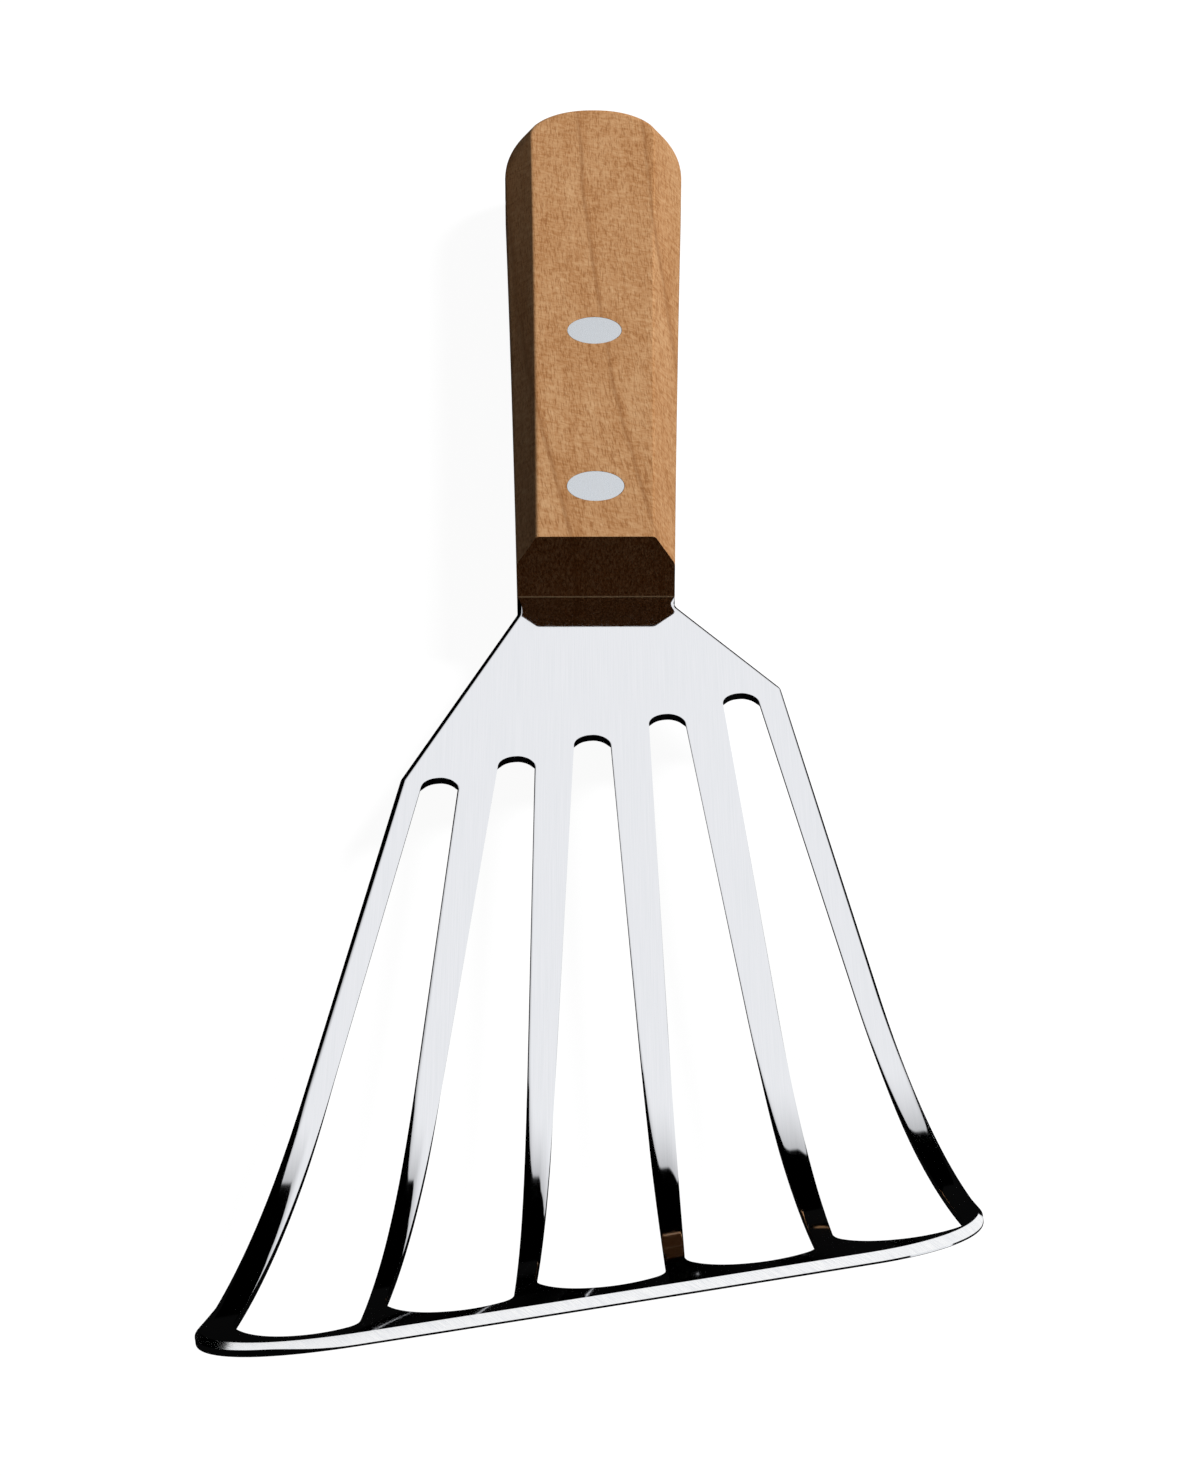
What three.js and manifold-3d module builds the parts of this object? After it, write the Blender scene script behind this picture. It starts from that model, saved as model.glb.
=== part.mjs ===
// Slotted spatula: a springy, fanned steel blade whose full tang is riveted between two wooden handle scales.
// Millimetres, +Z up. +Y runs from the blade's front edge to the butt of the handle and +X is the blade's
// short side. The origin is on the flat underside of the handle, midway between its two rivets.

import * as THREE from 'three';
import { mergeVertices } from 'three/addons/utils/BufferGeometryUtils.js';
import Module from 'manifold-3d';

const wasm = await Module();
wasm.setup();

// Handle seen from above, measured back from its front end
const HANDLE_LENGTH = 138.9;
const HANDLE_FRONT_WIDTH = 21.5;
const HANDLE_REAR_WIDTH = 27.8;
const HANDLE_SIDE_HOLLOW = 0.12;
const BUTT_ROUND_LENGTH = 21.5;
const BUTT_SQUARENESS = 2.2;

// Handle scales: upright sides up to the wall height, then a facet all round, then the flat
const SCALE_THICKNESS = 7.3;
const SCALE_WALL_HEIGHT = 4;
const SCALE_FLAT_FRONT_WIDTH = 16.1;
const SCALE_FLAT_REAR_WIDTH = 19.6;
const SCALE_FLAT_ROUND_LENGTH = 9.4;
const SCALE_BUTT_FACET_RUN = 4.2;
const SCALE_FRONT_RAKE = 27.8;

// Two-piece rivets: a pin pressed into a socket, each with a head sunk flush into its scale
const FRONT_RIVET_SETBACK = 17.3;
const RIVET_SPACING = 44.4;
const RIVET_HEAD_DIAMETER = 8;
const RIVET_HEAD_THICKNESS = 1.6;
const RIVET_PIN_DIAMETER = 3.2;
const RIVET_SOCKET_WALL = 0.85;
const RIVET_CLEARANCE = 0.05;
const RIVET_END_GAP = 0.3;

// Steel sheet and the curl of its front, whose axis lies across the blade at a slant
const SHEET_THICKNESS = 1;
const BEND_START = 95;
const BEND_RADIUS = 126;
const BEND_SLANT = 15.25;

// Blade outline of the flat sheet: across is X, along runs forward from the handle's front end
const LEFT_NECK_LENGTH = 4.2;
const RIGHT_NECK_LENGTH = 2;
const NECK_FILLET = 3;
const LEFT_SHOULDER_ACROSS = 25.35;
const LEFT_SHOULDER_ALONG = 43.6;
const RIGHT_SHOULDER_ACROSS = 24.35;
const RIGHT_SHOULDER_ALONG = 22.2;
const SHOULDER_RADIUS = 2.5;
const LEFT_EDGE_ANGLE = 8.2;
const RIGHT_EDGE_ANGLE = 8;
const LEFT_EDGE_FLARE = 1.8;
const RIGHT_EDGE_FLARE = 0.6;
const EDGE_FLARE_LENGTH = 18.5;

// Front edge, with a bevel ground on its upper side down to a narrow land
const FRONT_REACH = 165.9;
const FRONT_SLANT = 8.9;
const LEFT_CORNER_RUN = 21;
const LEFT_CORNER_RISE = 13.5;
const RIGHT_CORNER_RADIUS = 14.5;
const BEVEL_RUN = 2.2;
const BEVEL_LAND = 0.25;

// Slots: the strips between and beside them have set widths, and the slots share the rest
const SLOT_COUNT = 5;
const SLOT_TOP_ALONG = 35.6;
const SLOT_TOP_SLANT = 26.4;
const SLOT_END_SLANT = 10;
const FRONT_BAR_WIDTH = 5.4;
const STRIP_TOP_WIDTH = 5.15;
const STRIP_END_WIDTH = 2.05;
const LEFT_STRIP_TOP_WIDTH = 3.4;
const LEFT_STRIP_END_WIDTH = 3.75;
const RIGHT_STRIP_TOP_WIDTH = 3.2;
const RIGHT_STRIP_END_WIDTH = 2.6;
const SLOT_END_SAG = 3.6;
const SLOT_END_TILT = 9;
const SLOT_CORNER_BLEND = 1.2;

// Fineness of the round stretches
const CURVE_STEPS = 8;
const SIDE_STEPS = 10;
const BUTT_STEPS = 24;
const RIVET_SEGMENTS = 32;
const BEND_STEP = 3;

// How far a cutting tool runs past the faces that it cuts, and how near two points count as one
const CUT_OVERRUN = 2;
const WELD_DISTANCE = 1e-4;
const STATION_SNAP = 0.02;

const radians = THREE.MathUtils.degToRad;
const tangent = (angle) => Math.tan(radians(angle));
const handleFrontY = -(FRONT_RIVET_SETBACK + RIVET_SPACING / 2);
const socketRadius = RIVET_PIN_DIAMETER / 2 + RIVET_CLEARANCE + RIVET_SOCKET_WALL;
const onPlan = (across, along) => new THREE.Vector2(across, handleFrontY - along);

// A geometry with its shared vertices merged and its collapsed triangles left out
function weld(geometry) {
  const bare = geometry.clone();
  bare.deleteAttribute('normal');
  bare.deleteAttribute('uv');
  const welded = mergeVertices(bare, WELD_DISTANCE);
  const index = welded.getIndex().array;
  const kept = [];
  for (let i = 0; i < index.length; i += 3) {
    const [a, b, c] = [index[i], index[i + 1], index[i + 2]];
    if (a !== b && b !== c && c !== a) {
      kept.push(a, b, c);
    }
  }
  welded.setIndex(kept);
  return welded;
}

function toSolid(geometry) {
  const welded = weld(geometry);
  const mesh = new wasm.Mesh({
    numProp: 3,
    vertProperties: new Float32Array(welded.getAttribute('position').array),
    triVerts: new Uint32Array(welded.getIndex().array),
  });
  return new wasm.Manifold(mesh);
}

function toGeometry(solid) {
  const mesh = solid.getMesh();
  const geometry = new THREE.BufferGeometry();
  const positions = [];
  for (let i = 0; i < mesh.vertProperties.length; i += mesh.numProp) {
    positions.push(...mesh.vertProperties.slice(i, i + 3));
  }
  geometry.setAttribute('position', new THREE.Float32BufferAttribute(positions, 3));
  geometry.setIndex(Array.from(mesh.triVerts));
  return geometry;
}

// An outline raised to a height
function raised(outline, z) {
  return outline.map((point) => new THREE.Vector3(point.x, point.y, z));
}

// Closed solid through counter-clockwise rings with equal numbers of points, lowest ring first
function loft(rings) {
  const count = rings[0].length;
  const lastLevel = rings.length - 1;
  const index = [];
  for (const [a, b, c] of THREE.ShapeUtils.triangulateShape(rings[0], [])) {
    index.push(c, b, a);
  }
  for (const face of THREE.ShapeUtils.triangulateShape(rings[lastLevel], [])) {
    index.push(...face.map((corner) => corner + lastLevel * count));
  }
  for (let level = 0; level < lastLevel; level += 1) {
    const low = level * count;
    const high = low + count;
    for (let i = 0; i < count; i += 1) {
      const next = (i + 1) % count;
      index.push(low + i, low + next, high + next);
      index.push(low + i, high + next, high + i);
    }
  }
  const geometry = new THREE.BufferGeometry().setFromPoints(rings.flat());
  geometry.setIndex(index);
  return geometry;
}

// Straight prism over a shape, between two heights
function prism(shape, bottom, top) {
  const geometry = new THREE.ExtrudeGeometry(shape, {
    depth: top - bottom,
    bevelEnabled: false,
    curveSegments: CURVE_STEPS,
  });
  return geometry.translate(0, 0, bottom);
}

// Upright round bar between two heights
function roundBar(radius, bottom, top) {
  const geometry = new THREE.CylinderGeometry(radius, radius, top - bottom, RIVET_SEGMENTS);
  geometry.rotateX(Math.PI / 2);
  return geometry.translate(0, 0, (bottom + top) / 2);
}

// Straight run to a corner, then the corner's rounding towards the point after it
function turnCorner(path, corner, after, radius) {
  const back = path.currentPoint.clone().sub(corner).normalize();
  const ahead = after.clone().sub(corner).normalize();
  const halfAngle = back.angleTo(ahead) / 2;
  const centre = back.clone().add(ahead).setLength(radius / Math.sin(halfAngle)).add(corner);
  const reach = radius / Math.tan(halfAngle);
  const start = back.multiplyScalar(reach).add(corner).sub(centre);
  const end = ahead.multiplyScalar(reach).add(corner).sub(centre);
  path.absarc(centre.x, centre.y, radius, start.angle(), end.angle(), start.cross(end) < 0);
}

// Straight run to a corner, then a quarter oval that starts and ends at set distances from the corner
function easeCorner(path, corner, after, run, rise) {
  const pull = 4 / 3 * (Math.SQRT2 - 1);
  const start = path.currentPoint.clone().sub(corner).setLength(run).add(corner);
  const end = after.clone().sub(corner).setLength(rise).add(corner);
  const startPull = start.clone().lerp(corner, pull);
  const endPull = end.clone().lerp(corner, pull);
  path.lineTo(start.x, start.y);
  path.bezierCurveTo(startPull.x, startPull.y, endPull.x, endPull.y, end.x, end.y);
}

// Hollow sides and a round butt, clockwise from the front left corner to the front right one
function handleOutline(frontWidth, rearWidth, length, roundLength) {
  const roundStartY = handleFrontY + length - roundLength;
  const side = Array.from({ length: SIDE_STEPS }, (_, i) => {
    const share = i / SIDE_STEPS;
    const hollow = 4 * HANDLE_SIDE_HOLLOW * share * (1 - share);
    const half = THREE.MathUtils.lerp(frontWidth, rearWidth, share) / 2 - hollow;
    return new THREE.Vector2(half, THREE.MathUtils.lerp(handleFrontY, roundStartY, share));
  });
  const butt = Array.from({ length: BUTT_STEPS + 1 }, (_, i) => {
    const angle = Math.PI * (1 - i / BUTT_STEPS);
    const across = Math.sign(Math.cos(angle)) * Math.abs(Math.cos(angle)) ** (2 / BUTT_SQUARENESS);
    const back = Math.abs(Math.sin(angle)) ** (2 / BUTT_SQUARENESS);
    return new THREE.Vector2(across * rearWidth / 2, roundStartY + back * roundLength);
  });
  const left = side.map((point) => new THREE.Vector2(-point.x, point.y));
  return [...left, ...butt, ...side.reverse()];
}

// Outline of the handle's upright sides, which the tang shares
function sideOutline() {
  return handleOutline(HANDLE_FRONT_WIDTH, HANDLE_REAR_WIDTH, HANDLE_LENGTH, BUTT_ROUND_LENGTH);
}

// Outline of the flat of a scale, inside its facet
function flatOutline() {
  const length = HANDLE_LENGTH - SCALE_BUTT_FACET_RUN;
  return handleOutline(SCALE_FLAT_FRONT_WIDTH, SCALE_FLAT_REAR_WIDTH, length, SCALE_FLAT_ROUND_LENGTH);
}

// Where a line across the blade, given at its middle and by its slant, meets an outer edge of the blade
function meetEdge(side, lineAlong, lineSlant) {
  const slope = tangent(lineSlant);
  const splay = side * tangent(side < 0 ? LEFT_EDGE_ANGLE : RIGHT_EDGE_ANGLE);
  const shoulderAcross = side < 0 ? -LEFT_SHOULDER_ACROSS : RIGHT_SHOULDER_ACROSS;
  const shoulderAlong = side < 0 ? LEFT_SHOULDER_ALONG : RIGHT_SHOULDER_ALONG;
  const across = (shoulderAcross + splay * (lineAlong - shoulderAlong)) / (1 + splay * slope);
  return onPlan(across, lineAlong - slope * across);
}

// Front corner of the flared outline, and the point where the outer edge starts to flare
function flaredCorner(side, frontAlong) {
  const plain = meetEdge(side, frontAlong, FRONT_SLANT);
  const shoulder = side < 0 ? leftShoulder : rightShoulder;
  const start = shoulder.clone().sub(plain).setLength(EDGE_FLARE_LENGTH).add(plain);
  const flare = side < 0 ? LEFT_EDGE_FLARE : RIGHT_EDGE_FLARE;
  const corner = new THREE.Vector2(side, side * tangent(FRONT_SLANT)).setLength(flare).add(plain);
  return { corner, start };
}

const leftShoulder = onPlan(-LEFT_SHOULDER_ACROSS, LEFT_SHOULDER_ALONG);
const rightShoulder = onPlan(RIGHT_SHOULDER_ACROSS, RIGHT_SHOULDER_ALONG);

// Outline of the flat blade and tang, with the front edge set back for the top of the bevel
function bladeOutline(frontSetback) {
  const frontAlong = FRONT_REACH - frontSetback / Math.cos(radians(FRONT_SLANT));
  const left = flaredCorner(-1, frontAlong);
  const right = flaredCorner(1, frontAlong);
  const leftNeck = onPlan(-HANDLE_FRONT_WIDTH / 2, LEFT_NECK_LENGTH);
  const rightNeck = onPlan(HANDLE_FRONT_WIDTH / 2, RIGHT_NECK_LENGTH);
  const handle = sideOutline();
  const handleEnd = handle.pop();
  const path = new THREE.Path();
  path.moveTo(handleEnd.x, handleEnd.y);
  turnCorner(path, rightNeck, rightShoulder, Math.min(NECK_FILLET, RIGHT_NECK_LENGTH));
  turnCorner(path, rightShoulder, right.start, SHOULDER_RADIUS);
  path.lineTo(right.start.x, right.start.y);
  turnCorner(path, right.corner, left.corner, RIGHT_CORNER_RADIUS);
  easeCorner(path, left.corner, left.start, LEFT_CORNER_RUN, LEFT_CORNER_RISE);
  path.lineTo(left.start.x, left.start.y);
  turnCorner(path, leftShoulder, leftNeck, SHOULDER_RADIUS);
  turnCorner(path, leftNeck, onPlan(-HANDLE_FRONT_WIDTH / 2, 0), NECK_FILLET);
  return [...handle, ...path.getPoints(CURVE_STEPS)].reverse();
}

// Left and right ends of each slot on a line across the blade, from the widths of the strips there
function slotWidths(lineAlong, lineSlant, leftStrip, strip, rightStrip) {
  const left = meetEdge(-1, lineAlong, lineSlant);
  const right = meetEdge(1, lineAlong, lineSlant);
  const span = right.x - left.x - leftStrip - rightStrip;
  const width = (span - (SLOT_COUNT - 1) * strip) / SLOT_COUNT;
  const slope = tangent(lineSlant);
  const pointAt = (across) => onPlan(across, lineAlong - slope * across);
  return Array.from({ length: SLOT_COUNT }, (_, i) => {
    const start = left.x + leftStrip + i * (width + strip);
    return { centre: pointAt(start + width / 2), width };
  });
}

// One slot: a round top, two walls that spread towards the front, and a shallow round end
function slotShape(top, end) {
  const axis = end.centre.clone().sub(top.centre);
  const length = axis.length();
  axis.normalize();
  const sideways = new THREE.Vector2(-axis.y, axis.x);
  const topRadius = top.width / 2;
  const spread = Math.atan((end.width / 2 - topRadius) / length);
  const wallPoint = (side, distance) => {
    const offset = side * (topRadius + Math.tan(spread) * distance);
    return top.centre.clone().addScaledVector(axis, distance).addScaledVector(sideways, offset);
  };
  const tilt = tangent(SLOT_END_TILT) * end.width / 2;
  const cornerAt = (side) => length - SLOT_END_SAG + side * tilt;
  const corners = { left: wallPoint(-1, cornerAt(-1)), right: wallPoint(1, cornerAt(1)) };
  const chord = corners.right.clone().sub(corners.left);
  const halfChord = chord.length() / 2;
  const endRadius = (halfChord ** 2 + SLOT_END_SAG ** 2) / (2 * SLOT_END_SAG);
  const forward = new THREE.Vector2(chord.y, -chord.x).normalize();
  const middle = corners.left.clone().lerp(corners.right, 0.5);
  const centre = middle.addScaledVector(forward, SLOT_END_SAG - endRadius);
  const blendTurn = SLOT_CORNER_BLEND / endRadius;
  const startAngle = corners.left.clone().sub(centre).angle() + blendTurn;
  const endAngle = corners.right.clone().sub(centre).angle() - blendTurn;
  const arcStart = new THREE.Vector2(Math.cos(startAngle), Math.sin(startAngle));
  arcStart.multiplyScalar(endRadius).add(centre);
  const leftBlend = wallPoint(-1, cornerAt(-1) - SLOT_CORNER_BLEND);
  const rightBlend = wallPoint(1, cornerAt(1) - SLOT_CORNER_BLEND);
  const topAngle = sideways.angle();

  const shape = new THREE.Shape();
  shape.moveTo(leftBlend.x, leftBlend.y);
  shape.quadraticCurveTo(corners.left.x, corners.left.y, arcStart.x, arcStart.y);
  shape.absarc(centre.x, centre.y, endRadius, startAngle, endAngle, false);
  shape.quadraticCurveTo(corners.right.x, corners.right.y, rightBlend.x, rightBlend.y);
  shape.absarc(top.centre.x, top.centre.y, topRadius, topAngle - spread, topAngle + Math.PI + spread, false);
  shape.closePath();
  return shape;
}

// Distance of a point of the flat sheet past the line where the curl starts
function pastBend(point) {
  const along = handleFrontY - point.y;
  return point.x * Math.sin(radians(BEND_SLANT)) + along * Math.cos(radians(BEND_SLANT)) - BEND_START;
}

// Curls a point of the flat sheet, whose upper face is at height 0, up round the bend's axis
function curl(point) {
  const past = pastBend(point);
  if (past <= 0) return point;
  const turn = past / BEND_RADIUS;
  const radius = BEND_RADIUS - point.z;
  const shift = radius * Math.sin(turn) - past;
  const x = point.x + shift * Math.sin(radians(BEND_SLANT));
  const y = point.y - shift * Math.cos(radians(BEND_SLANT));
  return point.set(x, y, BEND_RADIUS - radius * Math.cos(turn));
}

// Splits every triangle that crosses a station of the curl, so that the sheet can turn there
function splitAtStations(geometry, stations) {
  const position = geometry.getAttribute('position');
  const points = Array.from({ length: position.count }, (_, i) => {
    return new THREE.Vector3().fromBufferAttribute(position, i);
  });
  const index = geometry.getIndex().array;
  let triangles = [];
  for (let i = 0; i < index.length; i += 3) {
    triangles.push([index[i], index[i + 1], index[i + 2]]);
  }
  for (const station of stations) {
    const heights = points.map((point) => pastBend(point) - station);
    const sides = heights.map((height) => (Math.abs(height) < STATION_SNAP ? 0 : Math.sign(height)));
    const cuts = new Map();
    const cutEdge = (a, b) => {
      const [low, high] = a < b ? [a, b] : [b, a];
      const key = `${low} ${high}`;
      if (!cuts.has(key)) {
        cuts.set(key, points.length);
        points.push(points[low].clone().lerp(points[high], heights[low] / (heights[low] - heights[high])));
      }
      return cuts.get(key);
    };
    triangles = triangles.flatMap((triangle) => splitTriangle(triangle, sides, cutEdge));
  }
  const split = new THREE.BufferGeometry().setFromPoints(points);
  split.setIndex(triangles.flat());
  return split;
}

// The parts of one triangle on either side of a station, with each corner's side given as -1, 0 or 1
function splitTriangle(triangle, sides, cutEdge) {
  const [low, high] = [-1, 1].map((side) => triangle.filter((corner) => sides[corner] === side));
  if (low.length === 0 || high.length === 0) return [triangle];
  const level = triangle.find((corner) => sides[corner] === 0);
  const first = level ?? (low.length === 1 ? low[0] : high[0]);
  const turn = triangle.indexOf(first);
  const [a, b, c] = [0, 1, 2].map((step) => triangle[(turn + step) % 3]);
  if (level !== undefined) {
    const cut = cutEdge(b, c);
    return [[a, b, cut], [a, cut, c]];
  }
  const nearB = cutEdge(a, b);
  const nearC = cutEdge(a, c);
  return [[a, nearB, nearC], [nearB, b, c], [nearB, c, nearC]];
}

// Blade and tang: the flat sheet, bevelled and pierced, then curled at the front
function bladeGeometry() {
  const lower = bladeOutline(0);
  const blank = loft([
    raised(lower, -SHEET_THICKNESS),
    raised(lower, BEVEL_LAND - SHEET_THICKNESS),
    raised(bladeOutline(BEVEL_RUN), 0),
  ]);
  let sheet = toSolid(blank);
  const cutBottom = -SHEET_THICKNESS - CUT_OVERRUN;
  const endAlong = FRONT_REACH - FRONT_BAR_WIDTH;
  const tops = slotWidths(
    SLOT_TOP_ALONG, SLOT_TOP_SLANT, LEFT_STRIP_TOP_WIDTH, STRIP_TOP_WIDTH, RIGHT_STRIP_TOP_WIDTH);
  const ends = slotWidths(
    endAlong, SLOT_END_SLANT, LEFT_STRIP_END_WIDTH, STRIP_END_WIDTH, RIGHT_STRIP_END_WIDTH);
  for (let i = 0; i < SLOT_COUNT; i += 1) {
    sheet = sheet.subtract(toSolid(prism(slotShape(tops[i], ends[i]), cutBottom, CUT_OVERRUN)));
  }
  for (const y of rivetPlaces) {
    const hole = roundBar(socketRadius + RIVET_CLEARANCE, cutBottom, CUT_OVERRUN);
    sheet = sheet.subtract(toSolid(hole.translate(0, y, 0)));
  }
  const pierced = toGeometry(sheet);
  const step = radians(BEND_STEP) * BEND_RADIUS;
  const stations = Array.from({ length: Math.ceil(FRONT_REACH / step) }, (_, i) => i * step);
  const split = splitAtStations(pierced, stations);
  const position = split.getAttribute('position');
  for (let i = 0; i < position.count; i += 1) {
    const point = curl(new THREE.Vector3().fromBufferAttribute(position, i));
    position.setXYZ(i, point.x, point.y, point.z);
  }
  return split;
}

// One handle scale lying on the tang at height 0, with its raked front end and its stepped rivet holes
function scaleGeometry() {
  const sides = sideOutline().reverse();
  const flat = flatOutline().reverse();
  const rings = [raised(sides, 0), raised(sides, SCALE_WALL_HEIGHT), raised(flat, SCALE_THICKNESS)];
  let scale = toSolid(loft(rings));
  scale = scale.subtract(toSolid(frontRakeCutter()));
  const cutTop = SCALE_THICKNESS + CUT_OVERRUN;
  const seat = SCALE_THICKNESS - RIVET_HEAD_THICKNESS;
  for (const y of rivetPlaces) {
    const hole = roundBar(socketRadius + RIVET_CLEARANCE, -CUT_OVERRUN, cutTop);
    const counterbore = roundBar(RIVET_HEAD_DIAMETER / 2 + RIVET_CLEARANCE, seat, cutTop);
    scale = scale.subtract(toSolid(hole.translate(0, y, 0)));
    scale = scale.subtract(toSolid(counterbore.translate(0, y, 0)));
  }
  return toGeometry(scale);
}

// Wedge that leans a scale's front end back from its foot on the tang
function frontRakeCutter() {
  const height = SCALE_THICKNESS + CUT_OVERRUN;
  const setback = height * tangent(SCALE_FRONT_RAKE);
  const profile = new THREE.Shape();
  profile.moveTo(0, 0);
  profile.lineTo(setback, height);
  profile.lineTo(-CUT_OVERRUN, height);
  profile.lineTo(-CUT_OVERRUN, 0);
  const width = HANDLE_REAR_WIDTH + 2 * CUT_OVERRUN;
  const wedge = new THREE.ExtrudeGeometry(profile, { depth: width, bevelEnabled: false });
  wedge.rotateX(Math.PI / 2).rotateZ(Math.PI / 2);
  return wedge.translate(-width / 2, handleFrontY, 0);
}

// Turned rivet half: its profile of radius and height, lowest point first, turned about the upright axis
function turned(profile) {
  const points = profile.map(([radius, height]) => new THREE.Vector2(radius, height));
  return weld(new THREE.LatheGeometry(points, RIVET_SEGMENTS).rotateX(Math.PI / 2));
}

function rivetSocketGeometry() {
  const headRadius = RIVET_HEAD_DIAMETER / 2;
  const boreRadius = RIVET_PIN_DIAMETER / 2 + RIVET_CLEARANCE;
  const mouth = RIVET_HEAD_THICKNESS + RIVET_END_GAP;
  return turned([
    [0, socketSeat],
    [boreRadius, socketSeat],
    [boreRadius, mouth],
    [socketRadius, mouth],
    [socketRadius, socketSeat],
    [headRadius, socketSeat],
    [headRadius, handleHeight],
    [0, handleHeight],
  ]);
}

function rivetPinGeometry() {
  const headRadius = RIVET_HEAD_DIAMETER / 2;
  const pinRadius = RIVET_PIN_DIAMETER / 2;
  const tip = socketSeat - RIVET_END_GAP;
  return turned([
    [0, 0],
    [headRadius, 0],
    [headRadius, RIVET_HEAD_THICKNESS],
    [pinRadius, RIVET_HEAD_THICKNESS],
    [pinRadius, tip],
    [0, tip],
  ]);
}

const rivetPlaces = [-RIVET_SPACING / 2, RIVET_SPACING / 2];
const rivetNames = ['front_rivet', 'rear_rivet'];
const handleHeight = 2 * SCALE_THICKNESS + SHEET_THICKNESS;
const socketSeat = handleHeight - RIVET_HEAD_THICKNESS;
const tangTop = SCALE_THICKNESS + SHEET_THICKNESS;

const steel = new THREE.MeshStandardMaterial({ color: 0xd3d5d9, roughness: 0.25, metalness: 1 });
const wood = new THREE.MeshStandardMaterial({ color: 0xb98a5f, roughness: 0.6, metalness: 0 });
const rivetMetal = new THREE.MeshStandardMaterial({ color: 0xcbd0d5, roughness: 0.35, metalness: 1 });

const spatula = new THREE.Group();

function addPiece(name, geometry, material) {
  const piece = new THREE.Mesh(geometry, material);
  piece.name = name;
  spatula.add(piece);
  return piece;
}

addPiece('blade', bladeGeometry(), steel).position.z = tangTop;
addPiece('upper_scale', scaleGeometry(), wood).position.z = tangTop;
const lowerScale = addPiece('lower_scale', scaleGeometry(), wood);
lowerScale.rotation.y = Math.PI;
lowerScale.position.z = SCALE_THICKNESS;
rivetPlaces.forEach((y, i) => {
  addPiece(`${rivetNames[i]}_socket`, rivetSocketGeometry(), rivetMetal).position.y = y;
  addPiece(`${rivetNames[i]}_pin`, rivetPinGeometry(), rivetMetal).position.y = y;
});

export default spatula;
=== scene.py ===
# Looks of the slotted spatula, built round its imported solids.
# Lengths are in millimetres until a mesh is made. The stage is in metres.
import math

import bmesh
import bpy
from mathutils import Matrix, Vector


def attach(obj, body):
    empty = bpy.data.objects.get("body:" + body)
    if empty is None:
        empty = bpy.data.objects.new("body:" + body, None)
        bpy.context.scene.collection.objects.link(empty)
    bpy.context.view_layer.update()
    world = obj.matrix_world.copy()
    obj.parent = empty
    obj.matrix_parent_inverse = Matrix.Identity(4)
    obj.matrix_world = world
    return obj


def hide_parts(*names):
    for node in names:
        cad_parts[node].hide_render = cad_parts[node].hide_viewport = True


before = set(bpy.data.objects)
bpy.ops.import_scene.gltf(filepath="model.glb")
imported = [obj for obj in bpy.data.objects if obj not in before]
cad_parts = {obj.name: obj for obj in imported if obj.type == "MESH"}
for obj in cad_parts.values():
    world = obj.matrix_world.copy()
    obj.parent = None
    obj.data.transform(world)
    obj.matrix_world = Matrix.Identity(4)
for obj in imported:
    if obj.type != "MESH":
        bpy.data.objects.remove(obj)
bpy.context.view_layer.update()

METRE = 0.001
UP = Vector((0, 0, 1))
LEFT, RIGHT = -1, 1

# Handle and its scales
HANDLE_FRONT_Y = -39.5
HANDLE_LENGTH = 138.9
HANDLE_FRONT_WIDTH = 21.5
HANDLE_REAR_WIDTH = 27.8
HANDLE_SIDE_HOLLOW = 0.12
BUTT_ROUND_LENGTH = 21.5
BUTT_SQUARENESS = 2.2
SCALE_THICKNESS = 7.3
SCALE_WALL_HEIGHT = 4.0
SCALE_FLAT_FRONT_WIDTH = 16.1
SCALE_FLAT_REAR_WIDTH = 19.6
SCALE_FLAT_ROUND_LENGTH = 9.4
SCALE_BUTT_FACET_RUN = 4.2
SCALE_FRONT_RAKE = math.radians(27.8)
FACET_ROUNDING = 0.8
BUTT_ROUNDING = 3.4
ROUNDING_SHARE = 0.49
FLAT_TOP_LEAD = 4.0
SEAM_CHAMFER = 0.07
SIDE_STEPS = 48
BUTT_STEPS = 64
ROUNDING_STEPS = 8
AVERAGE_STEPS = 8

# Rivets
RIVET_PLACES = {"front": -22.2, "rear": 22.2}
HEAD_RADIUS = 4.0
HEAD_THICKNESS = 1.6
HEAD_ROUNDING = 0.04
PIN_RADIUS = 1.6
SOCKET_RADIUS = 2.5
RIVET_CLEARANCE = 0.05
RIVET_END_GAP = 0.3
SEAT_GAP = 0.02
SEAT_CHAMFER = 0.02
RIVET_SEGMENTS = 72

# Steel sheet and its curl
SHEET_THICKNESS = 1.0
TANG_TOP = SCALE_THICKNESS + SHEET_THICKNESS
HANDLE_HEIGHT = TANG_TOP + SCALE_THICKNESS
BEND_START = 95.0
BEND_RADIUS = 126.0
BEND_SLANT = math.radians(15.25)
BEND_STEP = 1.0

# Blade outline
LEFT_NECK_LENGTH = 4.2
RIGHT_NECK_LENGTH = 2.0
NECK_FILLET = 3.0
SHOULDERS = {LEFT: (-25.35, 43.6), RIGHT: (24.35, 22.2)}
SHOULDER_RADIUS = 2.5
EDGE_ANGLES = {LEFT: math.radians(8.2), RIGHT: math.radians(8.0)}
EDGE_FLARES = {LEFT: 1.8, RIGHT: 0.6}
EDGE_FLARE_LENGTH = 18.5
FRONT_REACH = 165.9
FRONT_SLANT = math.radians(8.9)
LEFT_CORNER_RUN = 21.0
LEFT_CORNER_RISE = 13.5
RIGHT_CORNER_RADIUS = 14.5
CORNER_STEPS = 28
LONGEST_EDGE = 2.0
ROUND_PULL = 4 / 3 * (math.sqrt(2) - 1)
SHARPEST_MITRE = 0.5

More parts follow.
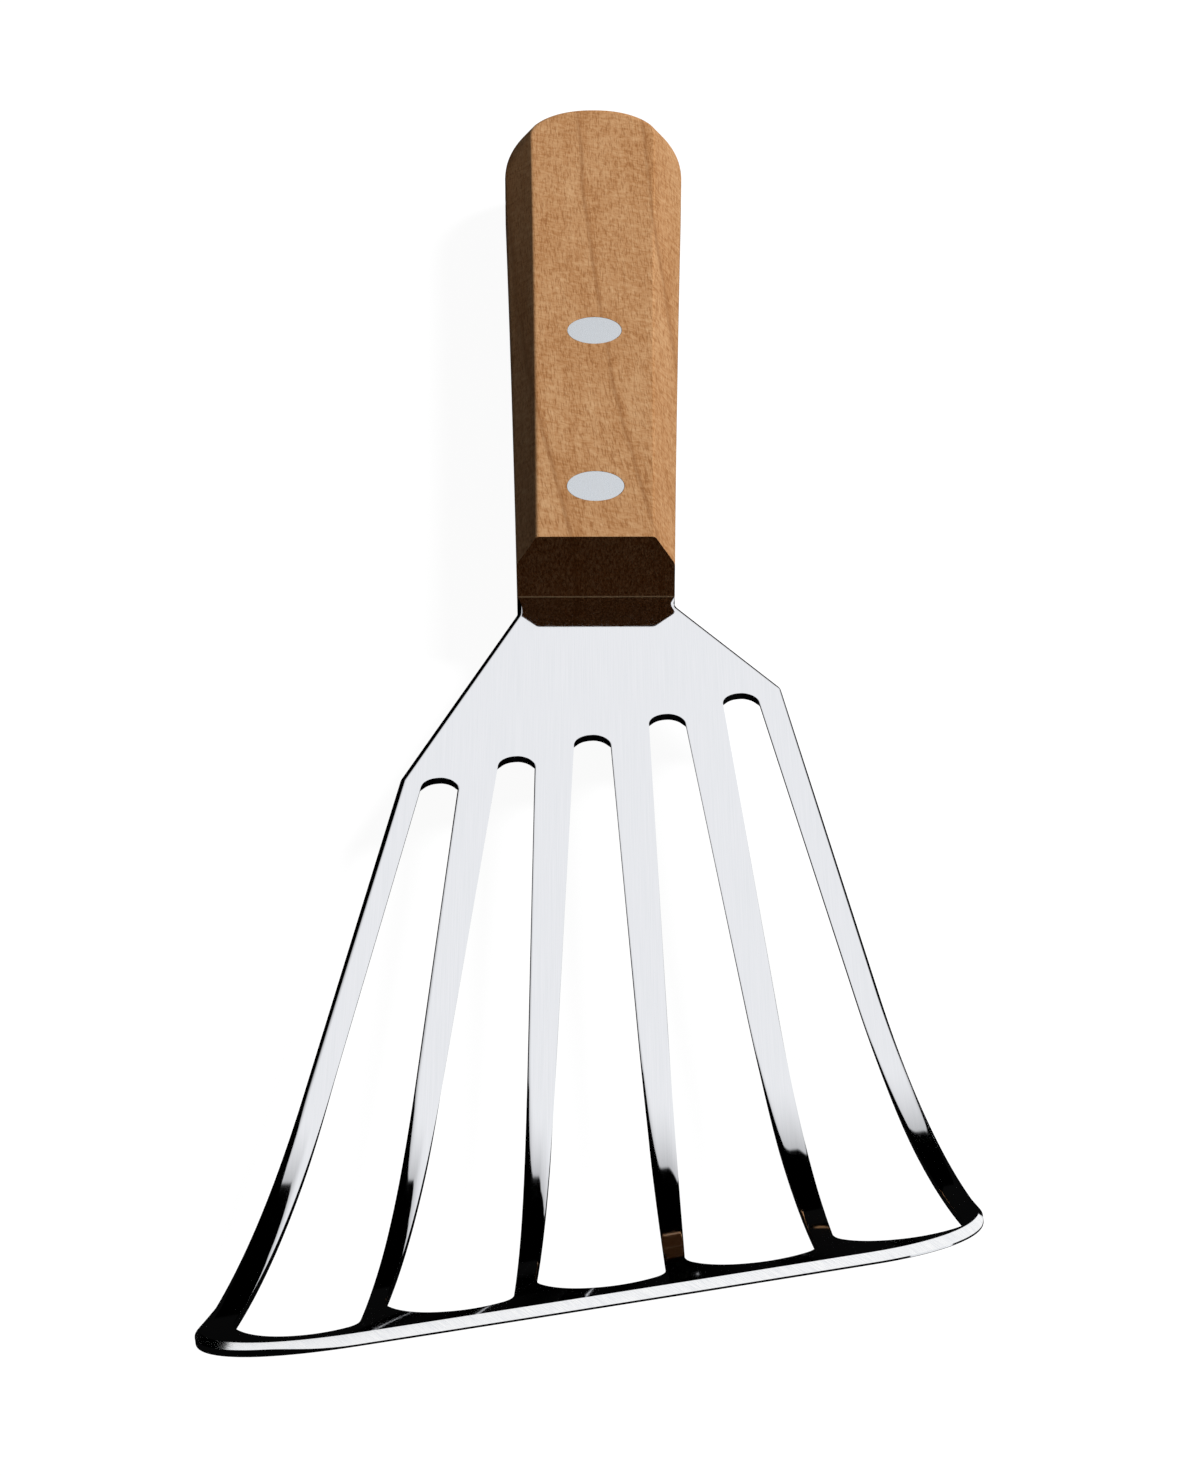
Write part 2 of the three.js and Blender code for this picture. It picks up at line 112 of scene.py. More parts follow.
# Bevel of the front edge. It is hollow in its shading, and the land below it grows at the left
# corner. A turn is a span of the share by which an edge faces the front or the left.
BEVEL_RUN = 1.8
BEVEL_LAND = 0.25
BEVEL_ONSET = (0.1, 0.35)
BEVEL_STEEPEST = math.radians(32)
BEVEL_SHALLOWEST = math.radians(24)
BEVEL_EVENNESS = 0.94
LEFT_LAND = 0.8
LEFT_LAND_TURN = (-0.15, 0.2)
LEFT_BEVEL_TURN = (0.4, 0.75)

# Slots. The widths of strips are those of the left one, of each middle one and of the right one.
SLOT_COUNT = 5
SLOT_TOP_ALONG = 35.6
SLOT_TOP_SLANT = math.radians(26.4)
SLOT_END_SLANT = math.radians(10)
FRONT_BAR_WIDTH = 5.4
TOP_STRIPS = (3.4, 5.15, 3.2)
END_STRIPS = (3.75, 2.05, 2.6)
SLOT_END_SAG = 3.6
SLOT_END_TILT = math.radians(9)
SLOT_CORNER_BLEND = 1.2

# Crowns of the upper edges: how far they run in, and how steep they end. Edges that face the front
# are crisp. The slots' sides are more crowned towards the curl, end in a steeper lip, and are crisp
# again near the front. A stretch is a span of the distance from the handle, or from the front edge.
OUTER_CROWN_RUN = 1.0
OUTER_CROWN_TILTS = {LEFT: math.radians(26), RIGHT: math.radians(36)}
OUTER_CRISP_TURN = (0.0, 0.25)
CRISP_CROWN_RUN = 0.1
CRISP_TURN = (0.25, 0.55)
SLOT_TOP_CROWN_RUN = 0.6
SLOT_FRONT_CROWN_RUN = 1.05
SLOT_CROWN_TILT = math.radians(10)
SLOT_LIP_TILT = math.radians(12)
CROWN_POWER = 1.6
LIP_POWER = 8
SLOT_CROWN_STRETCH = (50.0, 115.0)
SLOT_END_STRETCH = (14.0, 30.0)

# Walls and lower edges of the sheet. The side walls are undercut on the flat part and upright in
# the curl, and the edges of the tang are only broken.
EDGE_BREAK = 0.08
EDGE_INSET = 0.02
LEFT_INSET = 0.08
EDGE_CREASE = 0.012
SIDE_UNDERCUT = 0.17
UNDERCUT_STRETCH = (100.0, 125.0)
TANG_BREAK = 0.04
TANG_STRETCH = (0.0, 1.5)
EDGE_LEVELS = 7
BREAK_LEVELS = 3
WALL_LEVELS = BREAK_LEVELS + 1
RIM_LEVELS = 5

# Material slots of the blade and of a scale
BROAD, GROUND, EDGE = range(3)
END_GRAIN = 1

# Tolerances of the mesh steps
CUT_TOLERANCE = 1e-5
WELD_DISTANCE = 1e-4
TINY = 1e-9
SHARP_ANGLE = math.radians(32)


def on_plan(across, along):
    return Vector((across, HANDLE_FRONT_Y - along))


def along_of(point):
    return HANDLE_FRONT_Y - point.y


def lerp(a, b, share):
    return a + (b - a) * share


def smooth_share(low, high, value):
    share = min(1.0, max(0.0, (value - low) / (high - low)))
    return share * share * (3 - 2 * share)


def around(loop):
    """Each item of a closed loop with the one after it."""
    return zip(loop, loop[1:] + loop[:1])


# Outlines seen from above
def handle_outline(front_width, rear_width, length, round_length):
    """Hollow sides and a round butt, clockwise from the front left corner to the right one."""
    round_start = HANDLE_FRONT_Y + length - round_length
    side = []
    for step in range(SIDE_STEPS):
        share = step / SIDE_STEPS
        hollow = 4 * HANDLE_SIDE_HOLLOW * share * (1 - share)
        half = lerp(front_width, rear_width, share) / 2 - hollow
        side.append((half, lerp(HANDLE_FRONT_Y, round_start, share)))
    points = [Vector((-half, y)) for half, y in side]
    power = 2 / BUTT_SQUARENESS
    for step in range(BUTT_STEPS + 1):
        angle = math.pi * (1 - step / BUTT_STEPS)
        across = math.copysign(abs(math.cos(angle)) ** power, math.cos(angle))
        back = abs(math.sin(angle)) ** power
        points.append(Vector((across * rear_width / 2, round_start + back * round_length)))
    return points + [Vector((half, y)) for half, y in reversed(side)]


def side_outline():
    return handle_outline(HANDLE_FRONT_WIDTH, HANDLE_REAR_WIDTH, HANDLE_LENGTH, BUTT_ROUND_LENGTH)


def flat_outline():
    length = HANDLE_LENGTH - SCALE_BUTT_FACET_RUN
    return handle_outline(
        SCALE_FLAT_FRONT_WIDTH, SCALE_FLAT_REAR_WIDTH, length, SCALE_FLAT_ROUND_LENGTH)


def arc(centre, radius, start, turn, steps):
    angles = [start + turn * step / steps for step in range(steps + 1)]
    return [centre + radius * Vector((math.cos(a), math.sin(a))) for a in angles]


def turn_corner(path, corner, after, radius):
    back = (path[-1] - corner).normalized()
    ahead = (after - corner).normalized()
    half_angle = back.angle(ahead) / 2
    centre = corner + (back + ahead).normalized() * (radius / math.sin(half_angle))
    reach = radius / math.tan(half_angle)
    start = corner + back * reach - centre
    end = corner + ahead * reach - centre
    turn = math.atan2(start.x * end.y - start.y * end.x, start.dot(end))
    path += arc(centre, radius, math.atan2(start.y, start.x), turn, CORNER_STEPS)


def bezier(start, start_pull, end_pull, end, steps):
    points = []
    for step in range(steps + 1):
        t = step / steps
        s = 1 - t
        first = start * s ** 3 + start_pull * 3 * s * s * t
        points.append(first + end_pull * 3 * s * t * t + end * t ** 3)
    return points


def quadratic(start, pull, end):
    steps = CORNER_STEPS // 3
    points = []
    for step in range(steps + 1):
        t = step / steps
        points.append(start * (1 - t) ** 2 + pull * 2 * t * (1 - t) + end * t * t)
    return points


def circle(centre, radius, segments):
    return arc(centre, radius, 0.0, 2 * math.pi * (segments - 1) / segments, segments - 1)


def ease_corner(path, corner, after, run, rise):
    start = corner + (path[-1] - corner).normalized() * run
    end = corner + (after - corner).normalized() * rise
    start_pull = start.lerp(corner, ROUND_PULL)
    path += bezier(start, start_pull, end.lerp(corner, ROUND_PULL), end, CORNER_STEPS)


def meet_edge(side, line_along, line_slant):
    """Where a slanted line across the blade meets the straight edge on one side."""
    slope = math.tan(line_slant)
    splay = side * math.tan(EDGE_ANGLES[side])
    across, along = SHOULDERS[side]
    place = (across + splay * (line_along - along)) / (1 + splay * slope)
    return on_plan(place, line_along - slope * place)


def flared_corner(side, front_along):
    """A front corner moved outwards, and the place where its edge starts to flare."""
    plain = meet_edge(side, front_along, FRONT_SLANT)
    shoulder = on_plan(*SHOULDERS[side])
    start = plain + (shoulder - plain).normalized() * EDGE_FLARE_LENGTH
    sideways = Vector((side, side * math.tan(FRONT_SLANT))).normalized()
    return plain + sideways * EDGE_FLARES[side], start


def blade_outline(front_setback):
    """The flat blade and tang, counter-clockwise, with the front set back for the bevel's top."""
    front_along = FRONT_REACH - front_setback / math.cos(FRONT_SLANT)
    left_corner, left_start = flared_corner(LEFT, front_along)
    right_corner, right_start = flared_corner(RIGHT, front_along)
    left_shoulder = on_plan(*SHOULDERS[LEFT])
    right_shoulder = on_plan(*SHOULDERS[RIGHT])
    left_neck = on_plan(-HANDLE_FRONT_WIDTH / 2, LEFT_NECK_LENGTH)
    right_neck = on_plan(HANDLE_FRONT_WIDTH / 2, RIGHT_NECK_LENGTH)
    path = side_outline()
    turn_corner(path, right_neck, right_shoulder, min(NECK_FILLET, RIGHT_NECK_LENGTH))
    turn_corner(path, right_shoulder, right_start, SHOULDER_RADIUS)
    path.append(right_start)
    turn_corner(path, right_corner, left_corner, RIGHT_CORNER_RADIUS)
    ease_corner(path, left_corner, left_start, LEFT_CORNER_RUN, LEFT_CORNER_RISE)
    path.append(left_start)
    turn_corner(path, left_shoulder, left_neck, SHOULDER_RADIUS)
    turn_corner(path, left_neck, on_plan(-HANDLE_FRONT_WIDTH / 2, 0), NECK_FILLET)
    return list(reversed(path))


def slot_widths(line_along, line_slant, strips):
    """Middles and widths of the slots on a slanted line, from the strips beside them."""
    left_strip, strip, right_strip = strips
    left = meet_edge(LEFT, line_along, line_slant)
    right = meet_edge(RIGHT, line_along, line_slant)
    span = right.x - left.x - left_strip - right_strip
    width = (span - (SLOT_COUNT - 1) * strip) / SLOT_COUNT
    middles = [left.x + left_strip + i * (width + strip) + width / 2 for i in range(SLOT_COUNT)]
    return [(on_plan(x, line_along - math.tan(line_slant) * x), width) for x in middles]


def slot_outline(top, end):
    """One slot, clockwise: a round top, walls that spread to the front, a shallow round end."""
    top_centre, top_width = top
    end_centre, end_width = end
    axis = (end_centre - top_centre).normalized()
    length = (end_centre - top_centre).length
    sideways = Vector((-axis.y, axis.x))
    top_radius = top_width / 2
    spread = math.atan((end_width / 2 - top_radius) / length)

    def wall_point(side, distance):
        half = top_radius + math.tan(spread) * distance
        return top_centre + axis * distance + sideways * side * half

    tilt = math.tan(SLOT_END_TILT) * end_width / 2
    left_at = length - SLOT_END_SAG - tilt
    right_at = length - SLOT_END_SAG + tilt
    left = wall_point(LEFT, left_at)
    right = wall_point(RIGHT, right_at)
    chord = right - left
    end_radius = ((chord.length / 2) ** 2 + SLOT_END_SAG ** 2) / (2 * SLOT_END_SAG)
    forward = Vector((chord.y, -chord.x)).normalized()
    centre = (left + right) / 2 + forward * (SLOT_END_SAG - end_radius)
    blend_turn = SLOT_CORNER_BLEND / end_radius
    start_angle = math.atan2(left.y - centre.y, left.x - centre.x) + blend_turn
    end_angle = math.atan2(right.y - centre.y, right.x - centre.x) - blend_turn
    turn = (end_angle - start_angle) % (2 * math.pi)
    end_arc = arc(centre, end_radius, start_angle, turn, CORNER_STEPS)
    path = quadratic(wall_point(LEFT, left_at - SLOT_CORNER_BLEND), left, end_arc[0])
    path += end_arc[1:-1]
    path += quadratic(end_arc[-1], right, wall_point(RIGHT, right_at - SLOT_CORNER_BLEND))
    top_angle = math.atan2(sideways.y, sideways.x) - spread
    path += arc(top_centre, top_radius, top_angle, math.pi + 2 * spread, CORNER_STEPS)
    return list(reversed(path))


def spread_points(points, inner):
    """A closed outline and one inside it, point by point, with points added on long stretches."""
    dense = []
    for (point, after), (inside, inside_after) in zip(around(points), around(inner)):
        pieces = max(1, math.ceil((after - point).length / LONGEST_EDGE))
        for piece in range(pieces):
            share = piece / pieces
            dense.append((point.lerp(after, share), inside.lerp(inside_after, share)))
    return zip(*dense)


def outward_normals(points):
    """Unit normals to the right of a closed outline, and how far a corner stretches an offset."""
    normals = []
    count = len(points)
    for i, point in enumerate(points):
        before = (point - points[i - 1]).normalized()
        after = (points[(i + 1) % count] - point).normalized()
        mean = Vector((before.y + after.y, -before.x - after.x)).normalized()
        mitre = mean.dot(Vector((before.y, -before.x)))
        normals.append((mean, 1 / max(SHARPEST_MITRE, mitre)))
    return normals


# Blade
FRONT_OUT = Vector((math.sin(FRONT_SLANT), -math.cos(FRONT_SLANT), 0))


def crisp_share(outward):
    return smooth_share(*CRISP_TURN, -outward.y)


def outer_crown(point, outward):
    """How far a crown runs in, the tilt that it ends in and the lip that adds to the tilt."""
    front_share = smooth_share(*OUTER_CRISP_TURN, -outward.y)
    tilt = OUTER_CROWN_TILTS[LEFT if outward.x < 0 else RIGHT]
    return lerp(OUTER_CROWN_RUN, CRISP_CROWN_RUN, front_share), tilt, 0.0


def slot_crown(point, outward):
    along_share = smooth_share(*SLOT_CROWN_STRETCH, along_of(point))
    run = lerp(SLOT_TOP_CROWN_RUN, SLOT_FRONT_CROWN_RUN, along_share)
    behind_front = FRONT_REACH - HANDLE_FRONT_Y + point.y
    setback = behind_front * math.cos(FRONT_SLANT) - point.x * math.sin(FRONT_SLANT)
    end_share = max(crisp_share(outward), 1 - smooth_share(*SLOT_END_STRETCH, setback))
    return lerp(run, CRISP_CROWN_RUN, end_share), SLOT_CROWN_TILT, SLOT_LIP_TILT


def crown_drop(run, tilt, lip, share):
    """How far below the upper face a crown lies, at a share of its run from the wall inwards."""
    rest = 1 - share
    soft = math.tan(tilt) * rest ** (CROWN_POWER + 1) / (CROWN_POWER + 1)
    return run * (soft + math.tan(lip) * rest ** (LIP_POWER + 1) / (LIP_POWER + 1))


def edge_profile(point, outward, stretch, bevel, crown):
    """Places, heights, normals and shares of bevel, up one edge of the flat sheet.

    From below they follow a small break, a wall, and then a crown or the bevel.
    """
    open_share = smooth_share(*TANG_STRETCH, along_of(point))
    full_run, tilt, lip = crown(point, outward)
    crown_run = lerp(TANG_BREAK, full_run, open_share)
    edge_break = lerp(TANG_BREAK, EDGE_BREAK, open_share)
    flat_share = 1 - smooth_share(*UNDERCUT_STRETCH, along_of(point))
    undercut = SIDE_UNDERCUT * open_share * flat_share * (1 - crisp_share(outward))
    bevel_share = smooth_share(*BEVEL_ONSET, -bevel.dot(outward) / BEVEL_RUN)
    left_share = smooth_share(*LEFT_LAND_TURN, -outward.x)
    bevel_drop = SHEET_THICKNESS - lerp(BEVEL_LAND, LEFT_LAND, left_share)
    evenness = BEVEL_EVENNESS * (1 - smooth_share(*LEFT_BEVEL_TURN, -outward.x))
    out = Vector((outward.x, outward.y, 0))
    ground_out = out.lerp(FRONT_OUT, evenness).normalized()
    point = point - outward * stretch * lerp(EDGE_INSET, LEFT_INSET, left_share)
    profile = []
    for level in range(BREAK_LEVELS):
        angle = math.pi / 2 * (1 - level / (BREAK_LEVELS - 1))
        place = point - outward * stretch * (undercut + edge_break * (1 - math.cos(angle)))
        z = edge_break * (1 - math.sin(angle)) - SHEET_THICKNESS
        profile.append((place, z, out * math.cos(angle) - UP * math.sin(angle), 0.0))
    wall_drop = lerp(crown_drop(crown_run, tilt, lip, 0), bevel_drop, bevel_share)
    profile.append((point, -wall_drop - EDGE_CREASE, out, bevel_share))
    for level in range(EDGE_LEVELS):
        share = level / (EDGE_LEVELS - 1)
        crowned = point - outward * stretch * crown_run * share
        crowned_z = -crown_drop(crown_run, tilt, lip, share)
        angle = tilt * (1 - share) ** CROWN_POWER + lip * (1 - share) ** LIP_POWER
        crowned_normal = out * math.sin(angle) + UP * math.cos(angle)
        ground = point + bevel * share
        ground_z = -bevel_drop * (1 - share)
        slope = lerp(BEVEL_STEEPEST, BEVEL_SHALLOWEST, share)
        ground_normal = ground_out * math.sin(slope) + UP * math.cos(slope)
        place = crowned.lerp(ground, bevel_share)
        z = lerp(crowned_z, ground_z, bevel_share)
        normal = crowned_normal.lerp(ground_normal, bevel_share).normalized()
        profile.append((place, z, normal, bevel_share))
    return profile


def edge_loops(mesh, normal_layer, points, inner, crown):
    """Rings of vertices round one contour of the sheet, from its lower face up to its upper one."""
    rows = []
    for point, inside, (outward, stretch) in zip(points, inner, outward_normals(points)):
        row = []
        profile = edge_profile(point, outward, stretch, inside - point, crown)
        for place, z, normal, bevel_share in profile:
            vertex = mesh.verts.new((place.x, place.y, z))
            vertex[normal_layer] = normal
            row.append((vertex, bevel_share))
        rows.append(row)
    loops = list(zip(*rows))
    for level, (low, high) in enumerate(zip(loops, loops[1:])):
        for (start, end), (start_above, end_above) in zip(around(low), around(high)):
            face = mesh.faces.new((start[0], end[0], end_above[0], start_above[0]))
            ground = start[1] + end[1] > 1
            face.material_index = EDGE if level < WALL_LEVELS else GROUND if ground else BROAD
    return [vertex for vertex, _ in loops[0]], [vertex for vertex, _ in loops[-1]]


def bridge(mesh, low, high):
    for (start, end), (start_above, end_above) in zip(around(low), around(high)):
        mesh.faces.new((start, end, end_above, start_above))


def fill_edges(mesh, edges):
    filled = bmesh.ops.triangle_fill(mesh, use_beauty=True, edges=edges)["geom"]
    return [item for item in filled if isinstance(item, bmesh.types.BMFace)]


def fill(mesh, loops):
    edges = []
    for loop in loops:
        for pair in around(loop):
            edges.append(mesh.edges.get(pair) or mesh.edges.new(pair))
    return fill_edges(mesh, edges)


def cut(mesh, point, normal, keep_all):
    everything = list(mesh.verts) + list(mesh.edges) + list(mesh.faces)
    result = bmesh.ops.bisect_plane(
        mesh, geom=everything, dist=CUT_TOLERANCE,
        plane_co=point, plane_no=normal, clear_outer=not keep_all)
    return [item for item in result["geom_cut"] if isinstance(item, bmesh.types.BMEdge)]


# The curl rolls the flat sheet up about an axis that slants across it
BEND_FORWARD = Vector((math.sin(BEND_SLANT), -math.cos(BEND_SLANT), 0))
BEND_ACROSS = Vector((math.cos(BEND_SLANT), math.sin(BEND_SLANT), 0))


def past_bend(point):
    return BEND_FORWARD.dot(Vector((point.x, point.y - HANDLE_FRONT_Y, 0))) - BEND_START


def curled(point):
    past = past_bend(point)
    if past <= 0:
        return point.copy()
    radius = BEND_RADIUS - point.z
    moved = point + BEND_FORWARD * (radius * math.sin(past / BEND_RADIUS) - past)
    moved.z = BEND_RADIUS - radius * math.cos(past / BEND_RADIUS)
    return moved


def curled_normal(point, normal):
    turn = max(0.0, past_bend(point)) / BEND_RADIUS
    forward = BEND_FORWARD * math.cos(turn) + UP * math.sin(turn)
    up = UP * math.cos(turn) - BEND_FORWARD * math.sin(turn)
    level = forward * normal.dot(BEND_FORWARD) + BEND_ACROSS * normal.dot(BEND_ACROSS)
    return level + up * normal.z


def place_object(name, data):
    placed = bpy.data.objects.new(name, data)
    bpy.context.scene.collection.objects.link(placed)
    return placed


def make_object(name, mesh_data, materials):
    piece = place_object(name, mesh_data)
    for material in materials:
        mesh_data.materials.append(material)
    return piece


def shaded_object(name, mesh, materials):
    """An object from a finished bmesh, smooth but for its sharp edges."""
    data = bpy.data.meshes.new(name)
    mesh.to_mesh(data)
    mesh.free()
    data.shade_smooth()
    data.set_sharp_from_angle(angle=SHARP_ANGLE)
    piece = make_object(name, data, materials)
    weighted = piece.modifiers.new("weighted", "WEIGHTED_NORMAL")
    weighted.keep_sharp = True
    return piece


def build_blade(materials):
    """The sheet with its tang, made flat, cut across the curl at even steps and then rolled up."""
    mesh = bmesh.new()
    normal_layer = mesh.verts.layers.float_vector.new("flat_normal")
    face_layer = mesh.faces.layers.int.new("broad_face")
    tops = slot_widths(SLOT_TOP_ALONG, SLOT_TOP_SLANT, TOP_STRIPS)
    ends = slot_widths(FRONT_REACH - FRONT_BAR_WIDTH, SLOT_END_SLANT, END_STRIPS)
    outlines = [(blade_outline(0), blade_outline(BEVEL_RUN), outer_crown)]
    for top, end in zip(tops, ends):
        slot = slot_outline(top, end)
        outlines.append((slot, slot, slot_crown))
    for y in RIVET_PLACES.values():
        hole = circle(Vector((0, y)), SOCKET_RADIUS + RIVET_CLEARANCE, RIVET_SEGMENTS)
        hole.reverse()
        outlines.append((hole, hole, outer_crown))
    lows = []
    highs = []
    for outline, inside, crown in outlines:
        points, inner = spread_points(outline, inside)
        low, high = edge_loops(mesh, normal_layer, points, inner, crown)
        lows.append(low)
        highs.append(high)
    for face in fill(mesh, lows):
        face[face_layer] = -1
    for face in fill(mesh, highs):
        face[face_layer] = 1
    bmesh.ops.recalc_face_normals(mesh, faces=mesh.faces)

    past = 0.0
    reach = max(past_bend(vertex.co) for vertex in mesh.verts)
    while past < reach:
        place = BEND_FORWARD * (BEND_START + past) + Vector((0, HANDLE_FRONT_Y, 0))
        cut(mesh, place, BEND_FORWARD, True)
        past += BEND_STEP

    flat_places = [vertex.co.copy() for vertex in mesh.verts]
    edge_normals = [vertex[normal_layer].normalized() for vertex in mesh.verts]
    broad_faces = [face[face_layer] for face in mesh.faces]
    for vertex in mesh.verts:
        vertex.co = (curled(vertex.co) + UP * TANG_TOP) * METRE
    data = bpy.data.meshes.new("blade_looks")
    mesh.verts.index_update()
    mesh.to_mesh(data)
    mesh.free()

    sheet_uv = data.uv_layers.new(name=SHEET_UV)
    loop_normals = []
    for polygon in data.polygons:
        polygon.use_smooth = True
        for loop in polygon.loop_indices:
            vertex = data.loops[loop].vertex_index
            place = flat_places[vertex]
            sheet_uv.data[loop].uv = place.xy * METRE
            broad = broad_faces[polygon.index]
            normal = UP * broad if broad else edge_normals[vertex]
            loop_normals.append(curled_normal(place, normal))
    for layer in ("flat_normal", "broad_face"):
        data.attributes.remove(data.attributes[layer])
    data.normals_split_custom_set(loop_normals)
    return make_object("blade_looks", data, materials)


# Handle scales
def rounded_profile(corners, rounding):
    """Points round the two inner corners of a line of four, eased by averaging along the line."""
    lengths = [0.0]
    for a, b in zip(corners, corners[1:]):
        lengths.append(lengths[-1] + (b - a).length)

    def at(distance):
        for i in range(1, len(corners)):
            if distance <= lengths[i] or i == len(corners) - 1:
                stretch = max(TINY, lengths[i] - lengths[i - 1])
                return corners[i - 1].lerp(corners[i], (distance - lengths[i - 1]) / stretch)

    half = rounding / 2
    inner = min(half, ROUNDING_SHARE * (lengths[2] - lengths[1]))
    shares = [step / (ROUNDING_STEPS - 1) for step in range(ROUNDING_STEPS)]
    spots = [lerp(lengths[1] - half, lengths[1] + inner, share) for share in shares]
    spots += [lerp(lengths[2] - inner, lengths[2] + half, share) for share in shares]
    weights = [0.5] + [1.0] * (AVERAGE_STEPS - 1) + [0.5]
    points = []
    for spot in spots:
        total = Vector((0, 0, 0))
        for step, weight in enumerate(weights):
            offset = rounding * (step / AVERAGE_STEPS - 0.5)
            total += at(spot + offset) * (weight / AVERAGE_STEPS)
        points.append(total)
    return points


def open_normals(points):
    """Unit normals to the right of an open line of points."""
    normals = []
    for i in range(len(points)):
        along = points[min(i + 1, len(points) - 1)] - points[max(i - 1, 0)]
        normals.append(Vector((along.y, -along.x, 0)).normalized())
    return normals


def build_scale(name, upper, materials):
    """One scale with its stepped holes, made as the upper one and turned over for the lower one."""
    outline = [Vector((p.x, p.y, 0)) for p in reversed(side_outline())]
    flats = [Vector((p.x, p.y, SCALE_THICKNESS)) for p in reversed(flat_outline())]
    sides = open_normals(outline)
    inwards = open_normals(flats)

    butt_start = HANDLE_FRONT_Y + HANDLE_LENGTH - BUTT_ROUND_LENGTH
    mesh = bmesh.new()
    rows = []
    for point, flat, side, inward in zip(outline, flats, sides, inwards):
        start = point + UP * SEAM_CHAMFER
        foot = point + UP * SCALE_WALL_HEIGHT
        row = [point - side * SEAM_CHAMFER, start]
        butt_share = smooth_share(butt_start, butt_start + BUTT_ROUND_LENGTH, point.y)
        rounding = lerp(FACET_ROUNDING, BUTT_ROUNDING, butt_share)
        row += rounded_profile([start, foot, flat, flat - inward * FLAT_TOP_LEAD], rounding)
        rows.append([mesh.verts.new(place) for place in row])
    rings = [list(ring) for ring in zip(*rows)]
    for low, high in zip(rings, rings[1:]):
        bridge(mesh, low, high)

    bottoms = [rings[0]]
    tops = [rings[-1]]
    seat = SCALE_THICKNESS - HEAD_THICKNESS
    bore = SOCKET_RADIUS + RIVET_CLEARANCE
    mouth = HEAD_RADIUS + SEAT_GAP
    steps = [(bore, 0.0), (bore, seat), (mouth, seat), (mouth, SCALE_THICKNESS - SEAT_CHAMFER)]
    steps.append((mouth + SEAT_CHAMFER, SCALE_THICKNESS))
    for y in RIVET_PLACES.values():
        hole = []
        for radius, z in steps:
            ring = circle(Vector((0, y)), radius, RIVET_SEGMENTS)
            hole.append([mesh.verts.new((p.x, p.y, z)) for p in reversed(ring)])
        for low, high in zip(hole, hole[1:]):
            bridge(mesh, low, high)
        bottoms.append(hole[0])
        tops.append(hole[-1])
    fill(mesh, bottoms)
    fill(mesh, tops)
    bmesh.ops.remove_doubles(mesh, verts=mesh.verts, dist=WELD_DISTANCE)
    front = Vector((0, -math.cos(SCALE_FRONT_RAKE), math.sin(SCALE_FRONT_RAKE)))
    for face in fill_edges(mesh, cut(mesh, Vector((0, HANDLE_FRONT_Y, 0)), front, False)):
        face.material_index = END_GRAIN
    bmesh.ops.recalc_face_normals(mesh, faces=mesh.faces)

    for vertex in mesh.verts:
        place = vertex.co.copy()
        if upper:
            place.z += TANG_TOP
        else:
            place = Vector((-place.x, place.y, SCALE_THICKNESS - place.z))
        vertex.co = place * METRE
    return shaded_object(name, mesh, materials)


# Rivets
def turned(name, profile, y, materials):
    """A round piece from its profile of radius and height, which starts and ends on its axis."""
    mesh = bmesh.new()
    rings = []
    for radius, z in profile:
        if radius == 0:
            rings.append([mesh.verts.new((0, y, z))])
        else:
            places = circle(Vector((0, y)), radius, RIVET_SEGMENTS)
            rings.append([mesh.verts.new((p.x, p.y, z)) for p in places])
    for low, high in zip(rings, rings[1:]):
        if len(low) == 1 or len(high) == 1:
            tip, ring = (low[0], high) if len(low) == 1 else (high[0], low)
            for start, end in around(ring):
                mesh.faces.new((start, end, tip))
        else:
            bridge(mesh, low, high)
    bmesh.ops.recalc_face_normals(mesh, faces=mesh.faces)
    for vertex in mesh.verts:
        vertex.co *= METRE
    return shaded_object(name, mesh, materials)


def head_rim(face, inner):
    """Profile of a head's rounded rim, from its flat face to its inner side."""
    away = math.copysign(1, inner - face)
    rim = []
    for level in range(RIM_LEVELS):
        angle = math.pi / 2 * level / (RIM_LEVELS - 1)
        radius = HEAD_RADIUS - HEAD_ROUNDING * (1 - math.sin(angle))
        rim.append((radius, face + away * HEAD_ROUNDING * (1 - math.cos(angle))))
    return rim + [(HEAD_RADIUS, inner)]


def build_rivet(place, y, materials):
    """The two halves of a rivet: a head with a tube, and below it a head with a pin in the tube."""
    socket_seat = HANDLE_HEIGHT - HEAD_THICKNESS
    bore = PIN_RADIUS + RIVET_CLEARANCE
    mouth = HEAD_THICKNESS + RIVET_END_GAP
    socket = [(0, HANDLE_HEIGHT)] + head_rim(HANDLE_HEIGHT, socket_seat)
    socket += [(SOCKET_RADIUS, socket_seat), (SOCKET_RADIUS, mouth)]
    socket += [(bore, mouth), (bore, socket_seat), (0, socket_seat)]
    pin = [(0, 0)] + head_rim(0, HEAD_THICKNESS)
    tip = socket_seat - RIVET_END_GAP
    pin += [(PIN_RADIUS, HEAD_THICKNESS), (PIN_RADIUS, tip), (0, tip)]
    return (
        turned(f"{place}_rivet_socket_looks", socket, y, materials),
        turned(f"{place}_rivet_pin_looks", pin, y, materials),
    )


# Node graphs. Most of a noise lies within its span.
NOISE_SPAN = (0.3, 0.7)


def srgb(red, green, blue):
    """A colour written as it looks on screen, from 0 to 255, in a shader's linear values."""
    def linear(value):
        value /= 255
        return value / 12.92 if value <= 0.04045 else ((value + 0.055) / 1.055) ** 2.4
    return (linear(red), linear(green), linear(blue), 1.0)


